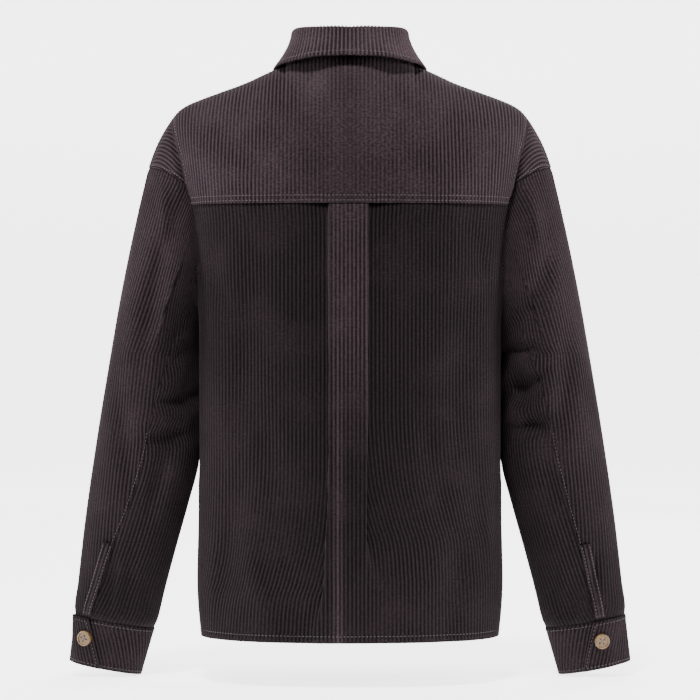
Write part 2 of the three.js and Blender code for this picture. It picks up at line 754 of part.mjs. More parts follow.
function cuffPoint(sideName, part, down, lift = 0) {
  const turned = part * (360 + cuffOverlap);
  const lap = lapLift * ease(cuffOverlap + 35, cuffOverlap + 5, turned);
  const z = mix(cuffSeamZ, cuffEdgeZ, down);
  return tubePoint(z, cuffTurn(sideName, part, down), lap + lift);
}

function cuffGrid(sideName) {
  const columns = 30;
  const levels = [0.006, 0.33, 0.67, 1];
  const rows = levels.map((down) => {
    const row = [];
    for (let i = columns; i >= 0; i -= 1) row.push(cuffPoint(sideName, i / columns, down));
    return row;
  });
  return trimmed(rows, ["first"]);
}

// Narrow binding laid on the upper sleeve along the slit above the cuff
function placketGrid(sideName) {
  const rows = [];
  const steps = 7;
  for (let i = 0; i <= steps; i += 1) {
    const z = mix(slitTopZ, cuffSeamZ + 4, i / steps);
    const seam = lookup(SLEEVE_SEAM, "z", sideName, z);
    const side = sideName === "right" ? 1 : -1;
    rows.push([1, 0.5, 0].map((part) => {
      const p = tubePoint(z, seam - 1 - placketTurn * part, clothThickness + placketGap);
      const weight = ease(cuffSeamZ, cuffSeamZ + 16, p.z);
      p.y += foldDepth(SLEEVE_FOLDS, side, p.x, p.z) * weight;
      return p;
    }));
  }
  return rows;
}

function neckAround(turn) {
  const angle = radians(turn);
  const face = Math.cos(angle) >= 0 ? "back" : "front";
  return neckAtX(neckHalf * Math.sin(angle), face);
}

function collarRow(turn) {
  const row = {};
  for (const field of ["stand", "lean", "roll", "x", "y", "z"]) {
    row[field] = lookup(COLLAR, "turn", field, Math.abs(turn));
  }
  row.x *= Math.sign(turn) || 1;
  if (Math.abs(turn) > 100) {
    row.y = Math.max(row.y, sectionSurfaceY(row.x, row.z) + collarClear);
  }
  return row;
}

// Outside of the chest at a place seen from the front
function sectionSurfaceY(x, z) {
  const top = topAtX(x, "front");
  if (z >= top.z) return 0;
  const rise = (z - yokeSeamZ) / (top.z - yokeSeamZ);
  return upperPoint(x, THREE.MathUtils.radToDeg(Math.asin(Math.max(rise, 0))), "front").y;
}

function outwardAt(turn) {
  return point(Math.sin(radians(turn)), -Math.cos(radians(turn)), 0);
}

// Middle of the stand's wall at a height above the neck seam
function standPoint(turn, part) {
  const row = collarRow(turn);
  const outward = outwardAt(turn);
  const lap = standLapLift * ease(148, 166, turn);
  const base = neckAround(turn).addScaledVector(outward, lap - clothThickness / 2);
  const rise = mix(standFootGap, row.stand, part);
  const middle = base.addScaledVector(outward, -row.lean * part).add(point(0, 0, rise));
  middle.normal = outward;
  return middle;
}

function standGrid() {
  const columns = 46;
  const rows = [];
  for (const part of [0, 0.5, 1]) {
    const row = [];
    for (let i = 0; i <= columns; i += 1) {
      row.push(standPoint(mix(-standEndTurn, standEndTurn, i / columns), part));
    }
    rows.push(row);
  }
  return rows;
}

// The fall rolls out from the stand's top and comes down to its lower edge
function fallColumn(turn) {
  const row = collarRow(turn);
  const outward = outwardAt(turn);
  const start = point(0, 0, fallGap).add(standPoint(turn, 1));
  const points = [start];
  const rollSteps = 4;
  for (let i = 1; i <= rollSteps; i += 1) {
    const angle = (Math.PI * i) / rollSteps;
    const out = row.roll * (1 - Math.cos(angle));
    points.push(start.clone().addScaledVector(outward, out).add(point(0, 0, 1 + row.roll * Math.sin(angle))));
  }
  const shoulder = points[points.length - 1];
  const edge = point(row.x, row.y, row.z);
  const drop = shoulder.clone().setZ(mix(shoulder.z, edge.z, 0.4)).addScaledVector(outward, 1.5);
  const fallSteps = 4;
  for (let i = 1; i <= fallSteps; i += 1) {
    const part = i / fallSteps;
    points.push(between(between(shoulder, drop, part), between(drop, edge, part), part));
  }
  return points;
}

function fallGrid() {
  const columns = 40;
  const lines = [];
  for (let i = 0; i <= columns; i += 1) {
    lines.push(fallColumn(mix(-collarEndTurn, collarEndTurn, i / columns)));
  }
  return lines[0].map((_, r) => lines.map((line) => line[r]));
}

function buttonGeometry() {
  const shape = new THREE.Shape();
  const ringPoints = (radius, sides, x, y) => Array.from({ length: sides }, (_, i) => {
    const angle = (2 * Math.PI * (i + holeTurn)) / sides;
    return new THREE.Vector2(x + radius * Math.cos(angle), y + radius * Math.sin(angle));
  });
  shape.setFromPoints(ringPoints(buttonRadius, buttonSides, 0, 0));
  for (const x of [-buttonHoleSpread, buttonHoleSpread]) {
    for (const y of [-buttonHoleSpread, buttonHoleSpread]) {
      const hole = new THREE.Path();
      hole.setFromPoints(ringPoints(buttonHoleRadius, holeSides, x, y));
      shape.holes.push(hole);
    }
  }
  return new THREE.ExtrudeGeometry(shape, { depth: buttonThickness, bevelEnabled: false, steps: 1 });
}

// A button with its back a little off the cloth at a point and facing along a normal
function buttonOn(at, normal) {
  const turned = new THREE.Quaternion().setFromUnitVectors(point(0, 0, 1), normal.clone().normalize());
  const place = at.clone().addScaledVector(normal.clone().normalize(), buttonGap);
  const geometry = buttonGeometry();
  geometry.applyQuaternion(turned);
  geometry.translate(place.x, place.y, place.z);
  return geometry;
}

function normalFrom(at, besides, below) {
  return besides.clone().sub(at).cross(below.clone().sub(at)).normalize();
}

function frontOuterPoint(x, z) {
  const y = z > yokeSeamZ ? sectionSurfaceY(x, z) : sectionDepth(x, z, "front");
  return point(x, y + lapLift, z);
}

const shacket = new THREE.Group();
shacket.name = "shacket";

function addPiece(name, geometry, color) {
  const material = new THREE.MeshStandardMaterial({ color, roughness: 0.9 });
  const mesh = new THREE.Mesh(geometry, material);
  mesh.name = name;
  shacket.add(mesh);
}

function mirroredGeometry(geometry) {
  const copy = geometry.clone();
  copy.scale(-1, 1, 1);
  const index = copy.getIndex();
  for (let i = 0; i < index.count; i += 3) {
    const second = index.getX(i + 1);
    index.setX(i + 1, index.getX(i + 2));
    index.setX(i + 2, second);
  }
  return copy;
}

function placed(sideName, geometry) {
  return sideName === "right" ? geometry : mirroredGeometry(geometry);
}

function addBody() {
  addPiece("back_panel", backPanel(), clothColor);
  addPiece("yoke", yoke(), clothColor);
  addPiece("front_right", front(lapLift), clothColor);
  addPiece("front_left", placed("left", front(0)), clothColor);
}

function addCollar() {
  const half = clothThickness / 2;
  addPiece("collar_stand", wall([standGrid()], half, half), clothColor);
  addPiece("collar_fall", wall([fallGrid()], half, half), clothColor);
}

function addSleeves() {
  for (const sideName of ["right", "left"]) {
    for (const piece of ["upper", "under"]) {
      addPiece(`sleeve_${piece}_${sideName}`, placed(sideName, sleeve(sideName, piece)), clothColor);
    }
    const placket = wall([placketGrid(sideName)], 0, clothThickness);
    addPiece(`sleeve_placket_${sideName}`, placed(sideName, placket), clothColor);
    const cuff = wall([cuffGrid(sideName)], 0, clothThickness);
    addPiece(`cuff_${sideName}`, placed(sideName, cuff), clothColor);
  }
}

function addButtons() {
  FRONT_BUTTON_Z.forEach((z, i) => {
    const at = frontOuterPoint(0, z);
    const normal = normalFrom(at, frontOuterPoint(1, z), frontOuterPoint(0, z - 4));
    addPiece(`front_button_${i + 1}`, buttonOn(at, normal), buttonColor);
  });
  const standPart = standButtonRise / COLLAR[COLLAR.length - 1].stand;
  const onStand = standPoint(180, standPart).add(point(0, clothThickness / 2, 0));
  const standNormal = point(0, 1, lookup(COLLAR, "turn", "lean", 180) / COLLAR[0].stand);
  addPiece("stand_button", buttonOn(onStand, standNormal), buttonColor);
  for (const sideName of ["right", "left"]) {
    const lap = CUFF_LAP[sideName];
    const from = mix(lap.above, lap.below, cuffButtonAt) - lap.button;
    const part = from / (360 + cuffOverlap);
    const at = cuffPoint(sideName, part, cuffButtonAt);
    const besides = cuffPoint(sideName, part - 0.005, cuffButtonAt);
    const normal = normalFrom(at, besides, cuffPoint(sideName, part, cuffButtonAt + 0.02));
    const side = point(sideName === "right" ? 1 : -1, 1, 1);
    addPiece(`cuff_button_${sideName}`, buttonOn(at.multiply(side), normal.multiply(side)), buttonColor);
  }
}

addBody();
addCollar();
addSleeves();
addButtons();

export default shacket;
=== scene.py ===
# %% [markdown]
# # A wide-wale corduroy shacket
# A shacket is a shirt cut like a light jacket. This one is filled out as if worn, with nobody in it:
# a turned-down collar, a yoke over the shoulders, a box pleat down the back, dropped shoulders,
# two-piece sleeves and buttoned cuffs. We load the solid model first. It fixes where every panel
# lies, and each panel is then replaced by thin ribbed cloth on the same form.

from math import acos, asin, cos, exp, pi, radians, sin, sqrt

import bmesh
import bpy
import numpy as np
from mathutils import Matrix, Vector


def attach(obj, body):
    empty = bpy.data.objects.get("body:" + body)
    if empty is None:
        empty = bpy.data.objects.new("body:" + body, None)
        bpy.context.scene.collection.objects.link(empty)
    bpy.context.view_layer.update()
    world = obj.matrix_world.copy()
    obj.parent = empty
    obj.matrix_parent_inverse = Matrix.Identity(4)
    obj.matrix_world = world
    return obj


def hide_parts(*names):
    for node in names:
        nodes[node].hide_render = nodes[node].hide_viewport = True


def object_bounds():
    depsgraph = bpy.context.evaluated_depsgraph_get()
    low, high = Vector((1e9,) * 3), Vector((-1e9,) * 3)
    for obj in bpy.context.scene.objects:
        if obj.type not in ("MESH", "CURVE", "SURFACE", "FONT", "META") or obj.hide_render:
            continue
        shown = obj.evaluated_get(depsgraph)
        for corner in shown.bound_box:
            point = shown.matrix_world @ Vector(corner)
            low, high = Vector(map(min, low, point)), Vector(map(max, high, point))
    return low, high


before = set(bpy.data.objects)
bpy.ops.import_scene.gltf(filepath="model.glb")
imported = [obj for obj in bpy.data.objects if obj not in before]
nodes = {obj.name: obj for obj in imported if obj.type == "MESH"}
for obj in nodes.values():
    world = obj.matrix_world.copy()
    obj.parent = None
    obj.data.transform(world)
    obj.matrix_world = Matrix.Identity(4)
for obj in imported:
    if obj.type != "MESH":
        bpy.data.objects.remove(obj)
cad_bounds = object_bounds()
MM = 0.001
print(f"{len(nodes)} CAD nodes")

# %% [markdown]
# ## Camera
# The photograph looks straight at the middle of the back from about three and a half metres.
# A long lens keeps the sides of the garment as parallel as they look there.

# %% Camera
scene = bpy.context.scene
camera_distance = 3.5
middle_height = -0.325
photo_width = 0.819
sensor_width = 36
camera_data = bpy.data.cameras.new("camera")
camera_data.sensor_width = sensor_width
camera_data.lens = sensor_width * camera_distance / photo_width
camera = bpy.data.objects.new("camera", camera_data)
camera.location = (0, -camera_distance, middle_height)
camera.rotation_euler = (radians(90), 0, 0)
scene.collection.objects.link(camera)
scene.camera = camera
print(f"lens {camera_data.lens:.1f} mm")

# %% [markdown]
# ## The form, in numbers
# A pattern cutter describes a garment by a few measures at a few heights. These tables do the same,
# in millimetres: the body's sections, the shoulder line, the armhole, the pleat, the sleeves and the
# collar. Everything that follows reads them, so cloth, stitches and buttons all agree.

# %% Measures of the garment
cloth_thickness = 2
lap_lift = 3.2
hem_z = -657
yoke_seam_z = -157.5
armhole_low_z = -280
neck_half, neck_back, neck_front = 76, 60, 72
neck_side_z, neck_back_rise, neck_front_drop = 8, 12, 68
shoulder_end_x = 207

BODY = {
    "z": [-657, -620, -590, -520, -450, -325, -280, -250, -195, -161, -139, -103, -68, -53],
    "half": [174, 177.5, 178.5, 177, 177, 177, 177.3, 179.5, 183.5, 187.5, 193, 202, 212, 216],
    "back": [118, 119, 119, 118, 117, 117, 117, 117, 116, 116, 115, 114, 112, 112],
    "front": [124, 125, 125, 125, 125, 126, 126, 126, 125, 124, 123, 121, 118, 118],
    "round": [2.4, 2.4, 2.42, 2.45, 2.5, 2.6, 2.65, 2.7, 2.75, 2.8, 2.8, 2.8, 2.8, 2.8],
}
RIDGE = {"x": [76, 95, 122, 153, 187, 200, 207, 212], "z": [8, 0, -12.6, -24, -37, -45, -53, -60]}
CREASE = {"z": [-157.5, -139, -119, -103, -92, -68, -53], "x": [182, 189, 193, 196, 199.5, 206, 207]}
ARMHOLE = {
    "z": [-280, -277, -268, -250, -220, -190, -157.5],
    "back": [0, 14, 27, 38, 46, 48, 47],
    "front": [0, 15, 29, 41, 49, 51, 50.3],
}
DROP_SEAM = {
    "along": [0, 0.2, 0.42, 0.67, 0.88],
    "x": [236, 229, 218, 205, 194],
    "y": [0, 14, 27, 38, 43],
    "z": [-112, -112.6, -116, -123, -131.5],
}
cap_bulge = 3
neck_fade = 100
PRESS = {"z": [-480, -450, -310, -292, -280], "deep": [0, 6, 6, 4.5, 0]}
press_y, press_spread = 14, 26


def mix(a, b, part):
    return a + (b - a) * part


def ease(start, end, at):
    part = np.clip((at - start) / (end - start), 0, 1)
    return part * part * (3 - 2 * part)


# %% Reading a table along a smooth curve
def lookup(table, key, field, at):
    keys, values = table[key], table[field]
    if at <= keys[0]:
        return values[0]
    if at >= keys[-1]:
        return values[-1]
    i = max(j for j in range(len(keys) - 1) if keys[j] <= at)

    def slope(j):
        a, b = max(j - 1, 0), min(j + 1, len(keys) - 1)
        return (values[b] - values[a]) / (keys[b] - keys[a])

    span = keys[i + 1] - keys[i]
    t = (at - keys[i]) / span
    leave = t * (1 - t) ** 2 * span * slope(i)
    arrive = t * t * (t - 1) * span * slope(i + 1)
    return mix(values[i], values[i + 1], t * t * (3 - 2 * t)) + leave + arrive


print(f"body {2 * lookup(BODY, 'z', 'half', hem_z)} mm wide at the hem")


# %% Surfaces of body and shoulders
def section_depth(x, z, face):
    half = lookup(BODY, "z", "half", z)
    round_ = lookup(BODY, "z", "round", z)
    part = min(abs(x) / half, 1)
    return lookup(BODY, "z", face, z) * (1 - part**round_) ** (1 / round_)


def lower_point(z, face, turn, inset=0):
    half = lookup(BODY, "z", "half", z) - inset
    depth = lookup(BODY, "z", face, z) - inset
    power = 2 / lookup(BODY, "z", "round", z)
    y = (-1 if face == "back" else 1) * depth * max(cos(turn), 0) ** power
    pressed = lookup(PRESS, "z", "deep", z) * exp(-(((y - press_y) / press_spread) ** 2))
    return Vector((half * max(sin(turn), 0) ** power - pressed, y, z))


def turn_at_x(x, z):
    part = min(abs(x) / lookup(BODY, "z", "half", z), 1)
    return asin(part ** (lookup(BODY, "z", "round", z) / 2))


def turn_at_edge(z, face):
    if z <= armhole_low_z:
        return pi / 2
    part = lookup(ARMHOLE, "z", face, z) / lookup(BODY, "z", face, z)
    return acos(part ** (lookup(BODY, "z", "round", z) / 2))


def neck_at_x(x, face):
    rest = sqrt(max(1 - (x / neck_half) ** 2, 0))
    if face == "back":
        return Vector((x, -neck_back * rest, neck_side_z + neck_back_rise * rest**2))
    return Vector((x, neck_front * rest, neck_side_z - neck_front_drop * rest**1.4))


def top_at_x(x, face):
    if abs(x) < neck_half:
        return neck_at_x(x, face)
    return Vector((x, 0, lookup(RIDGE, "x", "z", abs(x))))


def upper_point(x, turn, face):
    top = top_at_x(x, face)
    rise = sin(radians(turn))
    z = yoke_seam_z + (top.z - yoke_seam_z) * rise
    outer = ease(30, 100, abs(x))
    fullness = max(1 - rise ** mix(2.5, 2, outer), 0) ** mix(1, 0.5, outer)
    near_neck = rise**6 if face == "back" else 1
    start = mix(neck_back * ease(neck_fade, 0, abs(x)), abs(top.y), near_neck)
    y = start + (section_depth(x, z, face) - start) * fullness
    return Vector((x, -y if face == "back" else y, z))


def crease_x(turn):
    x = shoulder_end_x
    for _ in range(12):
        top = lookup(RIDGE, "x", "z", x)
        x = lookup(CREASE, "z", "x", yoke_seam_z + (top - yoke_seam_z) * sin(radians(turn)))
    return x


# %% Folds that the photograph shows
BODY_FOLDS = [
    (-1, 138, -560, 8, 70, 16, 7),
    (-1, 108, -590, -14, 50, 13, -3),
    (1, 120, -585, -10, 60, 16, 5),
    (1, 148, -520, 6, 60, 12, 4),
    (-1, 118, -330, 4, 110, 20, 4),
    (1, 126, -350, -5, 110, 20, 4),
    (-1, 160, -235, -24, 50, 12, 4),
    (1, 160, -240, 24, 50, 12, 4),
    (1, 92, -450, 12, 60, 14, 3),
    (-1, 96, -430, -8, 60, 15, 3),
]
SLEEVE_FOLDS = [
    (1, 196, -362, 22, 44, 12, 6),
    (1, 222, -420, 40, 40, 12, 5),
    (-1, 200, -405, 52, 38, 12, 5),
    (-1, 232, -300, 12, 60, 14, 4),
    (1, 262, -608, -14, 32, 9, 4),
    (-1, 258, -604, 10, 34, 9, 4),
    (-1, 197, -381, 72, 30, 8, 5),
    (-1, 200, -401, 74, 30, 8.5, -4.5),
    (-1, 202, -424, 78, 30, 8, 4),
    (-1, 184, -345, 10, 28, 8, 4),
    (-1, 197, -330, 37, 32, 8, 4),
    (-1, 222, -478, 20, 46, 10, 4),
    (1, 196, -325, -84, 26, 7, 5),
    (1, 198, -346, -66, 28, 7, -4),
    (1, 200, -366, -58, 32, 8, 5),
    (1, 202, -392, -64, 32, 8, -4),
    (1, 204, -412, -72, 32, 8, 4),
    (1, 240, -500, 24, 50, 11, 4),
    (1, 250, -345, -6, 70, 12, 3.5),
    (-1, 262, -420, -8, 70, 12, 3),
    (1, 282, -600, -8, 34, 7, 3.5),
    (-1, 280, -596, 4, 34, 7, 3.5),
    (1, 240, -612, 16, 30, 8, 3),
    (-1, 238, -606, 18, 30, 8, 3),
    (-1, 205, -124, 60, 16, 9, 3.5),
    (-1, 216, -160, -4, 42, 7, -2.5),
    (-1, 222, -230, 10, 60, 12, 3),
    (-1, 203, -255, 20, 50, 10, -2.5),
    (-1, 198, -300, 30, 40, 9, 3.5),
    (1, 206, -130, -50, 18, 9, 3),
    (1, 214, -175, 6, 40, 8, -2.5),
    (1, 220, -250, -14, 60, 12, 3),
    (1, 200, -285, -30, 40, 9, 3.5),
]
YOKE_FOLDS = [
    (-1, 128, -88, -42, 60, 17, 2.6),
    (-1, 158, -120, -30, 40, 12, -1.6),
    (1, 124, -80, 38, 60, 18, 2.4),
    (1, 40, -110, 70, 50, 14, 1.4),
    (-1, 30, -70, -75, 50, 12, 1.2),
]


body_fold_strength = 1.5
sleeve_fold_strength = 2.1


def fold_depth(folds, side, x, z):
    depth = 0
    for fold_side, fold_x, fold_z, lean, long, wide, deep in folds:
        if fold_side == side:
            dx, dz = x - fold_x, z - fold_z
            across = dx * cos(radians(lean)) + dz * sin(radians(lean))
            along = dz * cos(radians(lean)) - dx * sin(radians(lean))
            depth += deep * exp(-((across / wide) ** 2) - (along / long) ** 2)
    return depth


print(f"{len(BODY_FOLDS) + len(SLEEVE_FOLDS)} folds")

# %% [markdown]
# ## Ribbed cloth
# Wide-wale corduroy has raised ribs, the wales, here 4.6 mm apart, and they show even in the
# outline of collar and hem. So they are real relief. Each panel is a grid: its columns follow the
# wales at a quarter of their spacing, and its rows cross them. A bmesh grid is mapped onto the
# panel's form, columns beyond a seam close up on it, and a wave lifts the ribs. The distance across
# the cloth is kept in the UV map, where the material finds the same ribs again. A Solidify
# modifier then gives the cloth its thickness, inwards.

# %% Cloth from rows of points
wale_pitch = 4.6
wale_relief = 0.42
columns_per_wale = 4
cloth_wall = 1.5
seam_sink = 1.1
step = wale_pitch / columns_per_wale


def along_rows(rows, starts=None, reaches=None):
    """Rows resampled at equal steps of cloth, columns past an end closed up on it."""
    paths, measures = [], []
    for i, row in enumerate(rows):
        path = np.array([tuple(p) for p in row])
        reach = np.concatenate([[0], np.cumsum(np.linalg.norm(np.diff(path, axis=0), axis=1))])
        if reaches is not None:
            reach = np.array(reaches[i])
        elif starts is not None:
            reach = reach + starts[i]
        paths.append(path)
        measures.append(reach)
    first = int(np.floor(min(reach[0] for reach in measures) / step))
    last = int(np.ceil(max(reach[-1] for reach in measures) / step))
    cloth = np.arange(first, last + 1) * step
    grid, where = [], []
    for path, reach in zip(paths, measures):
        at = np.clip(cloth, reach[0], reach[-1])
        grid.append(np.stack([np.interp(at, reach, path[:, k]) for k in range(3)], axis=1))
        where.append(at)
    return np.array(grid), np.array(where)


def body_middle(p):
    return Vector((0, 0, p.z))


def cloth_mesh(name, parts, proud=0.0, inside=body_middle, edges_in=False, relief=wale_relief):
    """One mesh of cloth from grids: each part is (points, distance across, distance along)."""
    bm = bmesh.new()
    across = bm.verts.layers.float.new("across")
    along = bm.verts.layers.float.new("along")
    for points, c, s in parts:
        rows, columns = points.shape[:2]
        made = bmesh.ops.create_grid(bm, x_segments=columns - 1, y_segments=rows - 1, size=1)
        for v in made["verts"]:
            i = round((v.co.x + 1) / 2 * (columns - 1))
            j = round((v.co.y + 1) / 2 * (rows - 1))
            v.co = points[j, i]
            v[across] = c[j, i]
            v[along] = s[j, i]
    bmesh.ops.remove_doubles(bm, verts=bm.verts, dist=0.02)
    bmesh.ops.dissolve_degenerate(bm, edges=bm.edges, dist=0.02)
    bmesh.ops.recalc_face_normals(bm, faces=bm.faces)
    outward = sum(f.normal.dot(f.calc_center_median() - inside(f.calc_center_median())) * f.calc_area() for f in bm.faces)
    if outward < 0:
        bmesh.ops.reverse_faces(bm, faces=bm.faces)
    bm.normal_update()
    normals = [v.normal.copy() for v in bm.verts]
    for v, normal in zip(bm.verts, normals):
        rib = relief * (cos(2 * pi * v[across] / wale_pitch) - 1)
        v.co += normal * (proud + (-seam_sink if edges_in and v.is_boundary else rib))
    uv = bm.loops.layers.uv.new("Cloth")
    for face in bm.faces:
        face.smooth = True
        for loop in face.loops:
            loop[uv].uv = (loop.vert[across] * MM, loop.vert[along] * MM)
    bmesh.ops.scale(bm, vec=(MM, MM, MM), verts=bm.verts)
    mesh = bpy.data.meshes.new(name)
    bm.to_mesh(mesh)
    bm.free()
    piece = bpy.data.objects.new(name, mesh)
    scene.collection.objects.link(piece)
    wall = piece.modifiers.new("wall", "SOLIDIFY")
    wall.thickness = cloth_wall * MM
    wall.offset = -1
    print(f"{name}: {len(mesh.polygons)} faces")
    return piece


def down_the_cloth(points):
    """Distance down the cloth for each point of a grid, measured along its middle column."""
    middle = points[:, points.shape[1] // 3]
    steps = np.linalg.norm(np.diff(middle, axis=0), axis=1)
    down = np.concatenate([[0], np.cumsum(steps)])
    return np.repeat(down[:, None], points.shape[1], axis=1)


# %% [markdown]
# ## Back panel and box pleat
# One width of cloth makes the whole back. At the centre it folds under itself on both sides of a
# 40 mm box, and the two folds run out towards the hem, where the pleat opens. Each row of the grid
# follows the cloth through its three layers, so the wales of the hidden layer come out at the side
# of the box lower down, as they do on the real garment.

# %% Path of the cloth through the pleat
BOX = {
    "z": [-657, -600, -500, -410, -300, -161],
    1: [16.5, 16.5, 17, 18.5, 19.5, 20.5],
    -1: [34, 29, 24, 22.5, 23, 23.4],
}
pleat_opens_early = {1: 66, -1: 0}
layer_step = 2.9
softest_fold = 25
pleat_reach = 60
pleat_sink_depth = 24
sewn_flat = 0.62
PLEAT = {
    "z": [-657, -650, -630, -610, -590, -540, -480, -460, -161],
    "under": [0, 0, 0, 0, 1, 10, 17, 18, 18],
    "turn": [12, 20, 50, 110, 180, 180, 180, 180, 180],
}


def pleat_at(side, z):
    """The fold on one side at a level: cloth hidden under it, its turn, radius and height."""
    at = z - pleat_opens_early[side]
    under = max(lookup(PLEAT, "z", "under", at), 0)
    turn = radians(min(lookup(PLEAT, "z", "turn", at), 180))
    spacing = layer_step * mix(1, sewn_flat, ease(-pleat_sink_depth, 0, z - yoke_seam_z))
    radius = min(spacing / (1 - cos(turn)), softest_fold)
    return under, turn, radius, 2 * radius * (1 - cos(turn))


def pleat_path(side, z, fold_steps=8):
    """Half of the pleat from centre back: distance out and lift off the body."""
    under, turn, radius, height = pleat_at(side, z)
    middle = (height + pleat_at(-side, z)[3]) / 2
    box_half = lookup(BOX, "z", side, z)
    path = [(box_half * i / 6, mix(middle, height, ease(0, 6, i))) for i in range(7)]
    for i in range(1, fold_steps + 1):
        a = turn * i / fold_steps
        path.append((box_half + radius * sin(a), height - radius * (1 - cos(a))))
    mid_x = box_half + radius * sin(turn) + under * cos(turn)
    path.append((mid_x, height / 2))
    for i in range(1, fold_steps + 1):
        a = turn * (1 - i / fold_steps)
        x = mid_x + radius * (sin(turn) - sin(a))
        path.append((x, height / 2 - radius * (cos(a) - cos(turn))))
    foot = path[-1][0]
    sink = height * ease(-pleat_sink_depth, 0, z - yoke_seam_z)
    sunk = [(x, lift - sink) for x, lift in path]
    for i in range(1, 9):
        sunk.append((mix(foot, pleat_reach, i / 8), -sink * (1 - ease(0, 1, i / 8))))
    return sunk


def back_row(side, z):
    """One level of the back from the centre to the side seam or armhole, on one side."""
    row = []
    for x, lift in pleat_path(side, z):
        base = lower_point(z, "back", turn_at_x(x, z), cloth_thickness / 2)
        row.append(Vector((x, base.y - lift, z)))
    start, end = turn_at_x(pleat_reach, z), turn_at_edge(z, "back")
    for i in range(1, 37):
        row.append(lower_point(z, "back", mix(start, end, i / 36), cloth_thickness / 2))
    for p in row:
        shown = ease(pleat_reach, 85, p.x) * ease(170, 150, p.x)
        p.y += body_fold_strength * fold_depth(BODY_FOLDS, side, p.x, z) * shown
        p.x *= side
    return row


def back_reach(row, side, z):
    """Distance across the cloth; the hidden layer counts for less, so the ribs fan out gently."""
    hidden = mix(1, hidden_share, pleat_at(side, z)[0] / 18)
    reach = [0.0]
    for i, (a, b) in enumerate(zip(row, row[1:])):
        reach.append(reach[-1] + (b - a).length * (hidden if 6 <= i < 23 else 1))
    return reach


# %% Make the back panel
row_gap = 8
hidden_share = 0.4
back_levels = np.linspace(hem_z, yoke_seam_z + 0.5, 1 + round((yoke_seam_z - hem_z) / row_gap))


def sheet_part(rows, starts=None, reaches=None):
    """A grid of cloth from rows, ready for cloth_mesh."""
    points, across = along_rows(rows, starts, reaches)
    return points, across, down_the_cloth(points)


back_parts = []
for side in (1, -1):
    rows = [back_row(side, z) for z in back_levels]
    back_parts.append(sheet_part(rows, reaches=[back_reach(row, side, z) for row, z in zip(rows, back_levels)]))
back_panel = cloth_mesh("back_panel_cloth", back_parts, proud=cloth_thickness / 2)

# %% [markdown]
# ## Yoke and its cap
# The yoke is one piece over the back and both shoulders. It goes on past a fold at the shoulder's
# end to the dropped seam on the upper arm. Its wales stay parallel in the cloth, so on the cap they
# run down and inwards. Its lower edge lies over the back panel and is sewn through twice.

# %% Crease and drop seam
crease_valley = 3.2
cap_shear = 70
crease_turns = {"back": np.linspace(90, 10.3, 26), "front": np.linspace(90, 10.3, 26)}


def crease_table(face):
    """Along the crease: its turn, its points, and the drop seam's points beside them."""
    turns = crease_turns[face]
    folds = [upper_point(crease_x(turn), turn, face) for turn in turns]
    reach = [0]
    for a, b in zip(folds, folds[1:]):
        reach.append(reach[-1] + (b - a).length)
    meet = folds[-1]
    seam = {
        "along": DROP_SEAM["along"] + [1],
        "x": DROP_SEAM["x"] + [meet.x],
        "y": DROP_SEAM["y"] + [abs(meet.y)],
        "z": DROP_SEAM["z"] + [meet.z],
    }
    side = -1 if face == "back" else 1
    along = [r / reach[-1] for r in reach]
    drops = [
        Vector((lookup(seam, "along", "x", a), side * lookup(seam, "along", "y", a), lookup(seam, "along", "z", a)))
        for a in along
    ]
    return {"turn": turns, "along": along, "fold": folds, "drop": drops}


CREASES = {face: crease_table(face) for face in ("back", "front")}


def crease_at(face, turn):
    """How far along the crease a turn lies, and the drop seam's point there."""
    table = CREASES[face]
    along = float(np.interp(-turn, -table["turn"], table["along"]))
    drops = np.array([tuple(p) for p in table["drop"]])
    return along, Vector([float(np.interp(along, table["along"], drops[:, k])) for k in range(3)])


def cap_points(face, turn, start, steps=10):
    """From the crease over the cap to the drop seam, the crease itself drawn in as a valley."""
    along, drop = crease_at(face, turn)
    side = -1 if face == "back" else 1
    out = Vector((0.9 * (1 - along), side * along, 0.44 * (1 - along))).normalized()
    points = []
    for i in range(1, steps + 1):
        part = (i / steps) ** 1.3
        lift = cap_bulge * sin(pi * part) * sqrt(max(1 - along, 0))
        p = start.lerp(drop, part) + out * lift
        from_crease = (p - start).length
        p.y -= side * crease_valley * ease(0, 0.5, along) * exp(-(((from_crease - 4) / 4.5) ** 2))
        points.append(p)
    return points


print(f"drop seam starts at {tuple(round(v) for v in CREASES['back']['drop'][0])}")

# %% Make the yoke
front_yoke_turn = 62
front_yoke_neck_x = 69
front_seam_curve = 0.22
yoke_edge_lift = 1.3
yoke_edge_wide = 4
YOKE_ROWS_ABOVE_SEAM = (2.3, 8)
stitch_pinch = 0.7
SEAM_STEPS = (0, 1.2, 2.3, 3.5, 5.2, 6.8, 8, 9.3, 12)


def sewn_in(above):
    """How far the yoke stands out at a height above its seam: its edge up, its stitch rows in."""
    lift = yoke_edge_lift * ease(yoke_edge_wide, 0, above)
    return lift - sum(stitch_pinch * exp(-(((above - row) / 1.3) ** 2)) for row in YOKE_ROWS_ABOVE_SEAM)


def measured(row, straight_to, face, turn):
    """Distance across the cloth: across the body as far as the neck, along it, then over the cap."""
    reach = [abs(row[0].x)]
    for a, b in zip(row, row[1:]):
        inside = abs(b.x) <= straight_to + 0.01
        reach.append(reach[-1] + (abs(b.x) - abs(a.x) if inside else (b - a).length))
    shear = cap_shear * crease_at(face, max(turn, 10.3))[0]
    return reach[:-10] + [r + shear for r in reach[-10:]]


